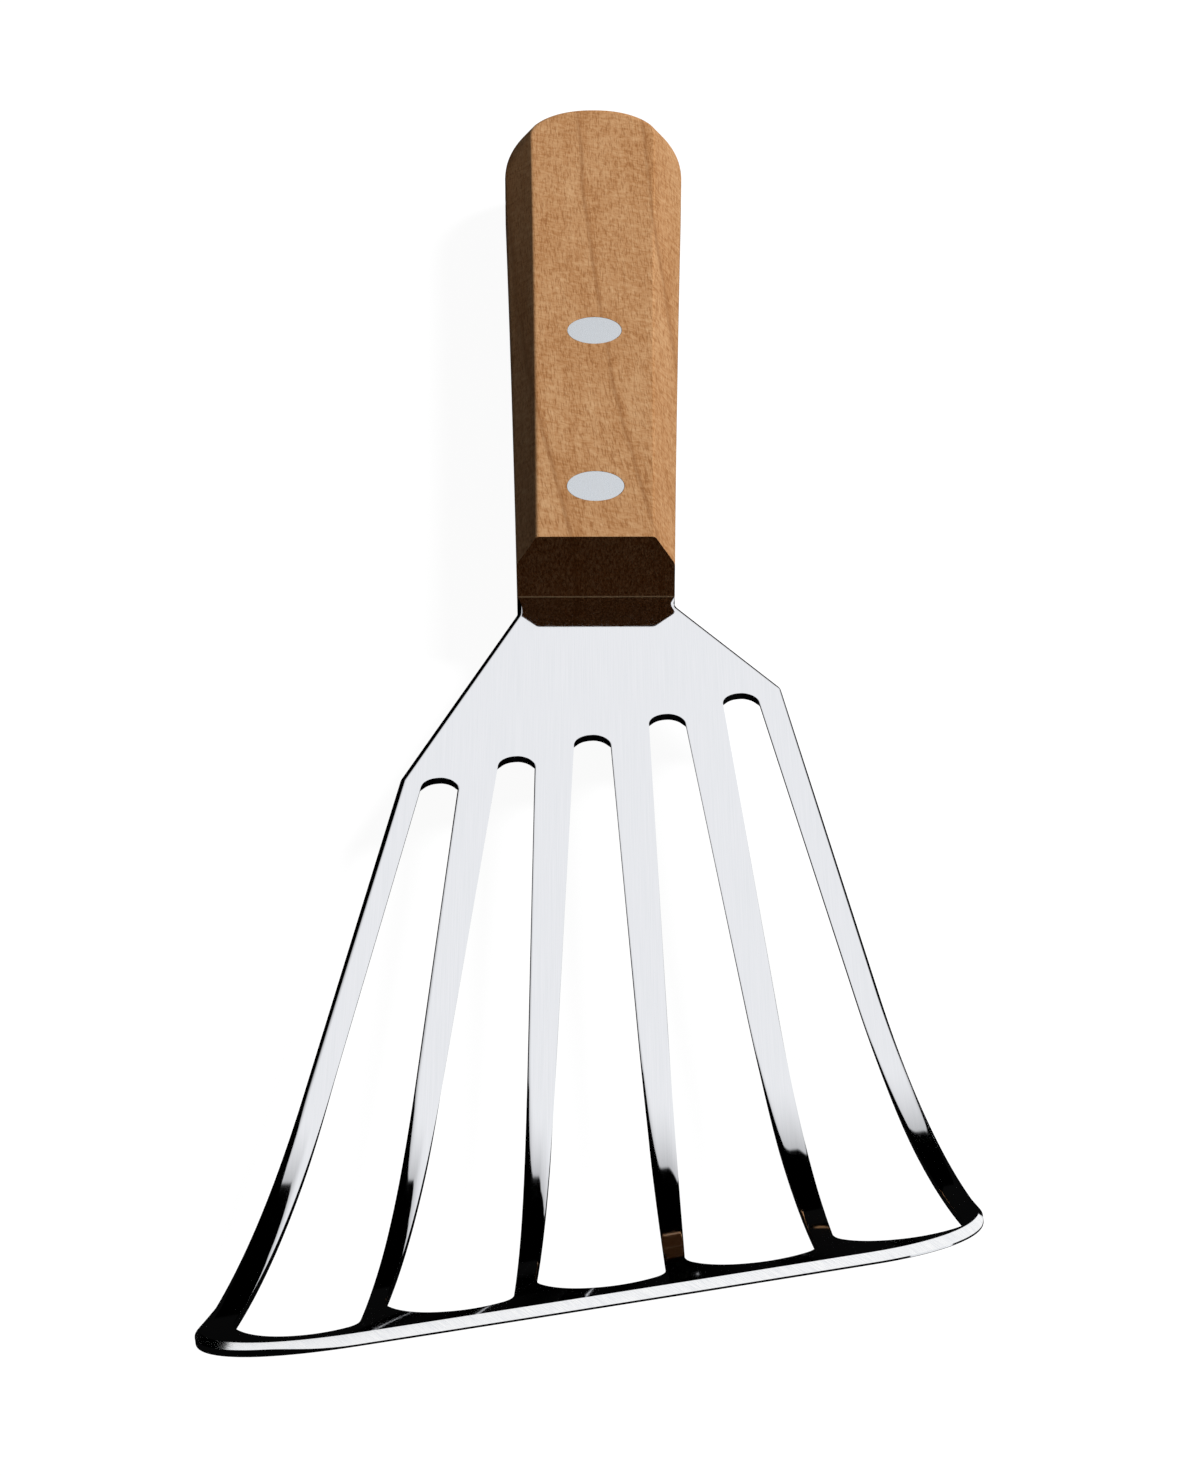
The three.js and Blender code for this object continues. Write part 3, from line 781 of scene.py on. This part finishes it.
class Graph:
    """Adds nodes to a tree and hands back their sockets."""

    def __init__(self, tree):
        self.tree = tree
        tree.nodes.clear()

    def put(self, socket, value):
        if isinstance(value, bpy.types.NodeSocket):
            self.tree.links.new(value, socket)
        else:
            socket.default_value = value

    def add(self, kind, inputs=None, **settings):
        node = self.tree.nodes.new(kind)
        for name, value in settings.items():
            setattr(node, name, value)
        for name, value in (inputs or {}).items():
            self.put(node.inputs[name], value)
        return node

    def math(self, operation, *values, clamp=False):
        inputs = dict(enumerate(values))
        return self.add("ShaderNodeMath", inputs, operation=operation, use_clamp=clamp).outputs[0]

    def times(self, parts, factors):
        return [self.math("MULTIPLY", part, factor) for part, factor in zip(parts, factors)]

    def vector(self, x, y, z):
        return self.add("ShaderNodeCombineXYZ", {0: x, 1: y, 2: z}).outputs[0]

    def split(self, vector):
        return self.add("ShaderNodeSeparateXYZ", {0: vector}).outputs

    def scaled(self, vector, scale):
        inputs = {0: vector, "Scale": scale}
        return self.add("ShaderNodeVectorMath", inputs, operation="SCALE").outputs[0]

    def object_place(self):
        return self.add("ShaderNodeTexCoord").outputs["Object"]

    def noise(self, vector, detail, roughness=0.5, distortion=0.0):
        inputs = {"Vector": vector, "Scale": 1.0, "Detail": detail}
        inputs.update({"Roughness": roughness, "Distortion": distortion})
        return self.add("ShaderNodeTexNoise", inputs).outputs[0]

    def remap(self, value, low, high, to_low, to_high, smooth=False):
        kind = "SMOOTHSTEP" if smooth else "LINEAR"
        inputs = {"Value": value, "From Min": low, "From Max": high}
        inputs.update({"To Min": to_low, "To Max": to_high})
        return self.add("ShaderNodeMapRange", inputs, interpolation_type=kind).outputs[0]

    def spread(self, noise, to_low, to_high):
        return self.remap(noise, *NOISE_SPAN, to_low, to_high)

    def mix(self, share, a, b):
        node = self.add("ShaderNodeMix", data_type="RGBA")
        for socket, value in zip((node.inputs[0], node.inputs[6], node.inputs[7]), (share, a, b)):
            self.put(socket, value)
        return node.outputs[2]

    def ramp(self, value, stops):
        node = self.add("ShaderNodeValToRGB", {0: value})
        elements = node.color_ramp.elements
        while len(elements) < len(stops):
            elements.new(0.5)
        for element, (place, colour) in zip(elements, stops):
            element.position = place
            element.color = colour
        return node.outputs[0]

    def bump(self, height, strength, distance):
        inputs = {"Height": height, "Strength": strength, "Distance": distance}
        return self.add("ShaderNodeBump", inputs).outputs[0]


def new_material(name):
    material = bpy.data.materials.new(name)
    material.use_nodes = True
    return material, Graph(material.node_tree)


def finish_surface(graph, inputs):
    shader = graph.add("ShaderNodeBsdfPrincipled", inputs)
    graph.add("ShaderNodeOutputMaterial", {"Surface": shader.outputs[0]})


# Wood, in millimetres of the part's own frame. The growth line is a cubic curve along the handle.
# A noise's scale says how fine it is across, along and through the wood.
GROWTH_LINE = (9.07, -0.168, 0.00078, -0.00000122)
GROWTH_SPACING_LEFT = 11.8
GROWTH_SPACING_RIGHT = 10.2
GROWTH_WANDER = 0.7
GROWTH_LINE_WIDTH = 0.5
GROWTH_BAND_WIDTH = 0.22
GRAIN_FOLLOWS_GROWTH = 0.7
LOWER_GRAIN_SHIFT = 4.6
WANDER_SCALE = (0.06, 0.035, 0.06)
STREAK_SCALE = (1.6, 0.09, 1.6)
MOTTLE_SCALE = (0.25, 0.04, 0.25)
FIBRE_SCALE = (5.6, 0.5, 5.6)
RIPPLE_SCALE_ACROSS = 0.75
RIPPLE_SCALE_ALONG = 1.25
RIPPLE_SLANT = 0.5
FLECK_SPAN = (0.53, 0.65)
LINE_FADE_SPAN = (0.35, 0.65)
LINE_FADE = (0.5, 1.0)

# How much each pattern moves the wood's tone, and the colours from its darkest to its palest tone
STREAK_SPAN = (0.25, 0.75)
STREAK_TONE = (0.36, 0.66)
MOTTLE_TONE = 0.12
RIPPLE_TONE = 0.24
FIBRE_TONE = 0.2
BAND_TONE = 0.14
WOOD_COLOURS = [
    (0.0, srgb(160, 108, 64)),
    (0.3, srgb(180, 129, 83)),
    (0.5, srgb(191, 142, 97)),
    (0.75, srgb(202, 156, 111)),
    (1.0, srgb(212, 169, 125)),
]
FLECK_COLOUR = srgb(144, 94, 52)
FLECK_SHARE = 0.42
LINE_COLOUR = srgb(140, 92, 52)
LINE_SHARE = 0.55
# Painted shade: faces that slope away from level (side facets, walls and the raked end faces) are
# mixed towards a dark brown, as if shaded.
FACET_SHADE_COLOUR = (0.12, 0.07, 0.04, 1.0)
FACET_SHADE_SHARE = 0.26
FACET_SHADE_TURN = (0.82, 0.98)
PORE_SCALE = (4.5, 2.2)
PORE_COLOUR = srgb(88, 44, 14)
PORE_SPAN = (0.38, 0.62)
PORE_SHARES = (0.98, 0.6)
# Painted highlight: a pale line on the end grain along its seam with the steel, where the wood's
# edge would catch the light.
SEAM_HIGHLIGHT_COLOUR = srgb(205, 170, 130)
SEAM_HIGHLIGHT_SPAN = (0.05, 0.16)
SEAM_HIGHLIGHT_SHARE = 0.8

# Surface of the wood. Depths of bumps are in metres.
WOOD_ROUGHNESS = (0.52, 0.64)
WOOD_SPECULAR = 0.1
STREAK_HEIGHT = 0.6
FLECK_HEIGHT = -0.4
LONG_GRAIN_BUMP = 0.25
END_GRAIN_BUMP = 0.5
WOOD_BUMP_DEPTH = 0.0001


def wood_material(name, phase, seam_z, end_grain):
    """Long grain with growth lines and flecks, or dark end grain with a pale painted highlight line
    at its seam.
    """
    material, g = new_material(name)
    x, y, z = g.split(g.scaled(g.object_place(), 1 / METRE))
    back = g.math("SUBTRACT", y, HANDLE_FRONT_Y)
    curve = GROWTH_LINE[3]
    for factor in reversed(GROWTH_LINE[:3]):
        curve = g.math("ADD", g.math("MULTIPLY", curve, back), factor)
    across = g.math("ADD", g.math("SUBTRACT", x, curve), phase)
    followed = g.math("MULTIPLY", curve, GRAIN_FOLLOWS_GROWTH)
    grain = (g.math("ADD", g.math("SUBTRACT", x, followed), phase), back, z)

    def grain_noise(scale, detail, roughness=0.5):
        return g.noise(g.vector(*g.times(grain, scale)), detail, roughness)

    wander = grain_noise(WANDER_SCALE, detail=2.0)
    ring = g.math("ADD", across, g.remap(wander, 0, 1, -GROWTH_WANDER, GROWTH_WANDER))
    rightwards = g.math("DIVIDE", g.math("MAXIMUM", ring, 0.0), GROWTH_SPACING_RIGHT)
    leftwards = g.math("DIVIDE", g.math("MINIMUM", ring, 0.0), GROWTH_SPACING_LEFT)
    turn = g.math("FRACT", g.math("ADD", rightwards, leftwards))
    nearest = g.math("MINIMUM", turn, g.math("SUBTRACT", 1.0, turn))
    away = g.math("MULTIPLY", nearest, GROWTH_SPACING_RIGHT)
    line = g.remap(away, 0.0, GROWTH_LINE_WIDTH, 1, 0, smooth=True)
    band = g.remap(turn, 0.0, GROWTH_BAND_WIDTH, 1, 0, smooth=True)

    streak = grain_noise(STREAK_SCALE, detail=3.0, roughness=0.6)
    mottle = grain_noise(MOTTLE_SCALE, detail=2.0)
    fibre = grain_noise(FIBRE_SCALE, detail=2.0, roughness=0.6)
    slanted = g.math("ADD", *g.times((back, x), (RIPPLE_SCALE_ALONG, RIPPLE_SLANT)))
    rippled = g.vector(g.math("MULTIPLY", x, RIPPLE_SCALE_ACROSS), slanted, z)
    ripple = g.noise(rippled, detail=2.0, roughness=0.55, distortion=0.9)
    fleck = g.remap(fibre, *FLECK_SPAN, 0, 1, smooth=True)
    fade = g.remap(mottle, *LINE_FADE_SPAN, *LINE_FADE)

    tone = g.remap(streak, *STREAK_SPAN, *STREAK_TONE)
    tone = g.math("ADD", tone, g.spread(mottle, -MOTTLE_TONE, MOTTLE_TONE))
    tone = g.math("ADD", tone, g.spread(ripple, -RIPPLE_TONE, RIPPLE_TONE))
    tone = g.math("ADD", tone, g.spread(fibre, FIBRE_TONE, -FIBRE_TONE))
    tone = g.math("SUBTRACT", tone, g.math("MULTIPLY", band, BAND_TONE), clamp=True)
    colour = g.ramp(tone, WOOD_COLOURS)
    colour = g.mix(g.math("MULTIPLY", fleck, FLECK_SHARE), colour, FLECK_COLOUR)
    line_share = g.math("MULTIPLY", g.math("MULTIPLY", line, fade), LINE_SHARE)
    colour = g.mix(line_share, colour, LINE_COLOUR)
    # Painted shade: the more a face slopes away from level, the more its colour is mixed towards
    # the dark facet shade.
    normal = g.add("ShaderNodeNewGeometry").outputs["Normal"]
    flatness = g.math("ABSOLUTE", g.split(normal)[2])
    facet_shade_share = g.remap(flatness, *FACET_SHADE_TURN, FACET_SHADE_SHARE, 0.0, smooth=True)
    colour = g.mix(facet_shade_share, colour, FACET_SHADE_COLOUR)
    if end_grain:
        fine = g.vector(*g.times((x, z), PORE_SCALE), back)
        pores = g.noise(fine, detail=3.0, roughness=0.65, distortion=0.5)
        colour = g.mix(g.remap(pores, *PORE_SPAN, *PORE_SHARES), colour, PORE_COLOUR)
        # Painted highlight: a pale line along the seam with the steel.
        from_seam = g.math("ABSOLUTE", g.math("SUBTRACT", z, seam_z))
        seam_highlight_share = g.remap(from_seam, *SEAM_HIGHLIGHT_SPAN, SEAM_HIGHLIGHT_SHARE, 0, smooth=True)
        colour = g.mix(seam_highlight_share, colour, SEAM_HIGHLIGHT_COLOUR)
        height = pores
    else:
        height = g.math("ADD", *g.times((streak, fleck), (STREAK_HEIGHT, FLECK_HEIGHT)))
    bump = END_GRAIN_BUMP if end_grain else LONG_GRAIN_BUMP
    finish_surface(g, {
        "Base Color": colour,
        "Roughness": g.spread(streak, *WOOD_ROUGHNESS),
        "Specular IOR Level": 0.0 if end_grain else WOOD_SPECULAR,
        "Normal": g.bump(height, bump, WOOD_BUMP_DEPTH),
    })
    return material


# Metals, also in millimetres. Each has two tints, the spans of its roughness, and the strength and
# the depth in metres of its marks.
STEEL_TINTS = (srgb(228, 230, 234), srgb(234, 235, 239))
STEEL_TINT_SPAN = (0.35, 0.65)
STEEL_BRUSH_SCALE = (7.0, 0.06)
STEEL_CLOUD_SCALE = (0.5, 0.02)
STEEL_CLOUD_LAYER = 3.0
STEEL_BRUSH_ROUGHNESS = (0.03, 0.05)
STEEL_CLOUD_ROUGHNESS = (-0.005, 0.01)
STEEL_ANISOTROPY = 0.5
STEEL_BUMP = (0.03, 0.00001)
GROUND_TINTS = (srgb(228, 230, 234), srgb(255, 255, 255))
GROUND_DIRECTION = (0.75, 0.66)
GROUND_SCALE = (6.0, 0.4)
GROUND_ROUGHNESS = (0.14, 0.22)
GROUND_BUMP = (0.3, 0.00004)
EDGE_TINTS = (srgb(222, 224, 228), srgb(232, 234, 238))
EDGE_WEAR_PER_METRE = 400.0
EDGE_ROUGHNESS = (0.05, 0.1)
RIVET_TINTS = (srgb(210, 215, 221), srgb(222, 226, 231))
RIVET_BRUSH_SCALE = (6.0, 0.25)
RIVET_ROUGHNESS = (0.24, 0.34)
RIVET_BUMP = (0.08, 0.00003)
SHEET_UV = "sheet"


def sheet_place(g):
    """Across and along on the unrolled sheet."""
    uv = g.add("ShaderNodeUVMap", uv_map=SHEET_UV).outputs[0]
    return g.split(g.scaled(uv, 1 / METRE))[:2]


def finish_metal(g, tint_share, tints, roughness, more):
    base = {"Base Color": g.mix(tint_share, *tints), "Metallic": 1.0, "Roughness": roughness}
    finish_surface(g, {**base, **more})


def steel_material():
    """Polished faces of the sheet, with fine brush marks along it."""
    material, g = new_material("brushed steel")
    place = sheet_place(g)
    brush = g.noise(g.vector(*g.times(place, STEEL_BRUSH_SCALE), 0.0), detail=4.0, roughness=0.65)
    cloud = g.noise(g.vector(*g.times(place, STEEL_CLOUD_SCALE), STEEL_CLOUD_LAYER), detail=2.0)
    brush_roughness = g.spread(brush, *STEEL_BRUSH_ROUGHNESS)
    roughness = g.math("ADD", brush_roughness, g.spread(cloud, *STEEL_CLOUD_ROUGHNESS))
    tangent = g.add("ShaderNodeTangent", direction_type="UV_MAP", uv_map=SHEET_UV)
    finish_metal(g, g.remap(brush, *STEEL_TINT_SPAN, 0, 1), STEEL_TINTS, roughness, {
        "Anisotropic": STEEL_ANISOTROPY,
        "Tangent": tangent.outputs[0],
        "Normal": g.bump(brush, *STEEL_BUMP),
    })
    return material


def bevel_material():
    """The ground bevel, with slanting grinding marks."""
    material, g = new_material("ground steel")
    across, along = sheet_place(g)
    slanted = g.math("ADD", *g.times((across, along), GROUND_DIRECTION))
    lengthwise = g.math("SUBTRACT", *g.times((along, across), GROUND_DIRECTION))
    place = g.vector(*g.times((slanted, lengthwise), GROUND_SCALE), 0.0)
    marks = g.noise(place, detail=3.0, roughness=0.6)
    roughness = g.spread(marks, *GROUND_ROUGHNESS)
    bump = {"Normal": g.bump(marks, *GROUND_BUMP)}
    finish_metal(g, g.spread(marks, 0, 1), GROUND_TINTS, roughness, bump)
    return material


def edge_material():
    """Tumbled edges of the sheet, with faint wear marks."""
    material, g = new_material("edge steel")
    wear = g.noise(g.scaled(g.object_place(), EDGE_WEAR_PER_METRE), detail=3.0)
    roughness = g.spread(wear, *EDGE_ROUGHNESS)
    finish_metal(g, g.spread(wear, 0, 1), EDGE_TINTS, roughness, {})
    return material


def rivet_material():
    """Rivet heads, brushed along the handle."""
    material, g = new_material("brushed rivet metal")
    x, y, z = g.split(g.scaled(g.object_place(), 1 / METRE))
    brush = g.noise(g.vector(*g.times((x, y), RIVET_BRUSH_SCALE), z), detail=3.0, roughness=0.6)
    roughness = g.spread(brush, *RIVET_ROUGHNESS)
    bump = {"Normal": g.bump(brush, *RIVET_BUMP)}
    finish_metal(g, g.spread(brush, 0, 1), RIVET_TINTS, roughness, bump)
    return material


# Pieces
blade_metals = [steel_material(), bevel_material(), edge_material()]
rivet_metal = rivet_material()

pieces = [(build_blade(blade_metals), "blade", "blade_steel")]
scale_sides = (("upper", 0.0, TANG_TOP), ("lower", LOWER_GRAIN_SHIFT, SCALE_THICKNESS))
for side, phase, seam_z in scale_sides:
    long_grain = wood_material(f"{side} wood", phase, seam_z, False)
    woods = [long_grain, wood_material(f"{side} end grain", phase, seam_z, True)]
    scale = build_scale(f"{side}_scale_looks", side == "upper", woods)
    pieces.append((scale, f"{side}_scale", "handle_wood"))
for place, y in RIVET_PLACES.items():
    socket, pin = build_rivet(place, y, [rivet_metal])
    pieces.append((socket, f"{place}_rivet_socket", "rivet_metal"))
    pieces.append((pin, f"{place}_rivet_pin", "rivet_metal"))
for piece, node, slot in pieces:
    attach(piece, "root")
    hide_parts(node)

# Stage, in metres. The floor and the world are white to the camera, in mirrors and through glass.
FLOOR_SIZE = 3.0
FLOOR_GLOW = 0.95
FLOOR_SHADE = 0.15
FLOOR_BOUNCE = 0.2
ROOM_LIGHT = 0.07
ONE_QUAD = [(0, 1, 2, 3)]


def backdrop_rays(g):
    ray = g.add("ShaderNodeLightPath").outputs
    seen = g.math("MAXIMUM", ray["Is Camera Ray"], ray["Is Glossy Ray"])
    return g.math("MAXIMUM", seen, ray["Is Transmission Ray"])


def grey(value):
    return (value, value, value, 1.0)


def level_quad(low, high, z):
    """Corners of a level rectangle, from its left near corner and its right far one."""
    (left, near), (right, far) = low, high
    return [(left, near, z), (right, near, z), (right, far, z), (left, far, z)]


def build_floor():
    half = FLOOR_SIZE / 2
    mesh = bpy.data.meshes.new("floor")
    mesh.from_pydata(level_quad((-half, -half), (half, half), 0), [], ONE_QUAD)
    material, g = new_material("floor")
    glow = g.add("ShaderNodeEmission", {"Color": grey(1), "Strength": FLOOR_GLOW}).outputs[0]
    shaded = g.add("ShaderNodeBsdfDiffuse", {"Color": grey(FLOOR_SHADE)}).outputs[0]
    seen = g.add("ShaderNodeAddShader", {0: glow, 1: shaded}).outputs[0]
    bounce = g.add("ShaderNodeBsdfDiffuse", {"Color": grey(FLOOR_BOUNCE)}).outputs[0]
    surface = g.add("ShaderNodeMixShader", {0: backdrop_rays(g), 1: bounce, 2: seen}).outputs[0]
    g.add("ShaderNodeOutputMaterial", {"Surface": surface})
    floor = make_object("floor", mesh, [material])


def build_world():
    world = bpy.data.worlds.new("studio")
    world.use_nodes = True
    bpy.context.scene.world = world
    g = Graph(world.node_tree)
    room = g.add("ShaderNodeBackground", {"Color": grey(1), "Strength": ROOM_LIGHT}).outputs[0]
    white = g.add("ShaderNodeBackground", {"Color": grey(1), "Strength": 1.0}).outputs[0]
    mixed = g.add("ShaderNodeMixShader", {0: backdrop_rays(g), 1: room, 2: white}).outputs[0]
    g.add("ShaderNodeOutputWorld", {"Surface": mixed})


build_floor()
build_world()

# Cards that are seen in reflections alone, in metres. The back card is pale above a black foot. Two
# black ones stand in front of the blade and beside the handle, and one lies on the floor.
CARD_CENTRE = Vector((0, -0.17, 0.015))
CARD_DISTANCE = 1.2
CARD_STEPS = 60
BACK_CARD_ARC = (math.radians(-110), math.radians(70))
BACK_CARD_HEIGHT = 2.0
BACK_CARD_EDGE = 0.236
BACK_CARD_EDGE_FALL = 0.45
BACK_CARD_EDGE_LEFT = 0.181
BACK_CARD_EDGE_RISE = 1.75
BACK_CARD_EDGE_HIGHEST = 0.5
BACK_CARD_LEFT_END = (-0.32, -0.2)
BACK_CARD_RIGHT_END = (0.36, 0.44)
BACK_CARD_FADE_HEIGHT = 0.21
BACK_CARD_FADE = 0.42
BACK_CARD_FADE_CURVE = 1.6
BACK_CARD_EDGE_SOFTNESS = 0.03
FRONT_CARD_ARC = (math.radians(130), math.radians(250))
FRONT_CARD_HEIGHT = 1.3
LYING_CARD = ((-1.4, -1.4), (0.3, 1.0))
LYING_CARD_HEIGHT = 0.0005
SIDE_CARD = ((0.0117, -0.028), (0.0146, 0.085))
SIDE_CARD_HEIGHT = 0.0165
CARD_BLACK = 0.003


def stage_card(name, places, faces, material):
    mesh = bpy.data.meshes.new(name)
    mesh.from_pydata(places, [], faces)
    material.cycles.emission_sampling = "NONE"
    card = make_object(name, mesh, [material])
    for rays in ("camera", "diffuse", "transmission", "volume_scatter", "shadow"):
        setattr(card, f"visible_{rays}", False)
    return card


def back_card_material():
    """Black at its ends and its foot, which rises to the left, and paler up to white between."""
    material, g = new_material("back card")
    sight = g.add("ShaderNodeVectorMath", {0: g.object_place()}, operation="NORMALIZE").outputs[0]
    east, _, height = g.split(sight)
    edge = g.math("SUBTRACT", BACK_CARD_EDGE_LEFT, g.math("MULTIPLY", east, BACK_CARD_EDGE_RISE))
    lowest = g.math("SUBTRACT", BACK_CARD_EDGE, g.math("MULTIPLY", east, BACK_CARD_EDGE_FALL))
    edge = g.math("MINIMUM", g.math("MAXIMUM", edge, lowest), BACK_CARD_EDGE_HIGHEST)
    rise = g.math("DIVIDE", g.math("SUBTRACT", height, edge), BACK_CARD_FADE_HEIGHT)
    short = g.math("SUBTRACT", 1.0, rise, clamp=True)
    fade = g.math("MULTIPLY", g.math("POWER", short, BACK_CARD_FADE_CURVE), BACK_CARD_FADE)
    soft = BACK_CARD_EDGE_SOFTNESS
    above = g.remap(rise, -soft, soft, 0, 1, smooth=True)
    pale = g.math("MULTIPLY", g.math("SUBTRACT", 1.0, fade), above)
    pale = g.math("MULTIPLY", pale, g.remap(east, *BACK_CARD_LEFT_END, 0, 1, smooth=True))
    pale = g.math("MULTIPLY", pale, g.remap(east, *BACK_CARD_RIGHT_END, 1, 0, smooth=True))
    glow = g.add("ShaderNodeEmission", {"Color": grey(1), "Strength": pale}).outputs[0]
    g.add("ShaderNodeOutputMaterial", {"Surface": glow})
    return material


def black_card_material():
    material, g = new_material("black card")
    black = g.add("ShaderNodeBsdfDiffuse", {"Color": grey(CARD_BLACK)}).outputs[0]
    g.add("ShaderNodeOutputMaterial", {"Surface": black})
    return material


def standing_card(name, arc_ends, height, material):
    """A curved wall round the blade, between two directions counted from straight behind it."""
    wall = []
    for step in range(CARD_STEPS + 1):
        angle = lerp(*arc_ends, step / CARD_STEPS)
        x, y = CARD_DISTANCE * math.sin(angle), CARD_DISTANCE * math.cos(angle)
        wall += [(x, y, -CARD_CENTRE.z), (x, y, height - CARD_CENTRE.z)]
    faces = [(2 * i, 2 * i + 2, 2 * i + 3, 2 * i + 1) for i in range(CARD_STEPS)]
    stage_card(name, wall, faces, material).location = CARD_CENTRE


def build_cards():
    black = black_card_material()
    standing_card("back_card", BACK_CARD_ARC, BACK_CARD_HEIGHT, back_card_material())
    standing_card("front_card", FRONT_CARD_ARC, FRONT_CARD_HEIGHT, black)
    lying = level_quad(*LYING_CARD, LYING_CARD_HEIGHT)
    stage_card("lying_card", lying, ONE_QUAD, black)
    near, far = SIDE_CARD
    side = [(*near, 0), (*far, 0), (*far, SIDE_CARD_HEIGHT), (*near, SIDE_CARD_HEIGHT)]
    stage_card("side_card", side, ONE_QUAD, black)


build_cards()

# Key lamp, in metres and watts
KEY_DIRECTION = Vector((1.15, 0.6, 1.0)).normalized()
KEY_DISTANCE = 2.4
KEY_SIZE = 1.0
KEY_POWER = 84.0


def build_key():
    data = bpy.data.lights.new("key", "AREA")
    data.shape = "DISK"
    data.size = KEY_SIZE
    data.energy = KEY_POWER
    key = place_object("key", data)
    key.visible_glossy = False
    key.location = KEY_DIRECTION * KEY_DISTANCE
    key.rotation_euler = KEY_DIRECTION.to_track_quat("Z", "Y").to_euler()


build_key()

# Camera: its lens and sensor in millimetres, its place in metres, its angles in degrees
CAMERA_LENS = 109.93
CAMERA_SENSOR_WIDTH = 36.0
CAMERA_PLACE = (-0.00207, -0.55974, 0.33811)
CAMERA_DIP = 34.165
CAMERA_TURN = -0.212


def build_camera():
    data = bpy.data.cameras.new("camera")
    data.lens = CAMERA_LENS
    data.sensor_width = CAMERA_SENSOR_WIDTH
    camera = place_object("camera", data)
    camera.location = CAMERA_PLACE
    camera.rotation_euler = (math.radians(90 - CAMERA_DIP), 0, math.radians(CAMERA_TURN))
    bpy.context.scene.camera = camera


build_camera()
bpy.context.scene.view_settings.view_transform = "Standard"
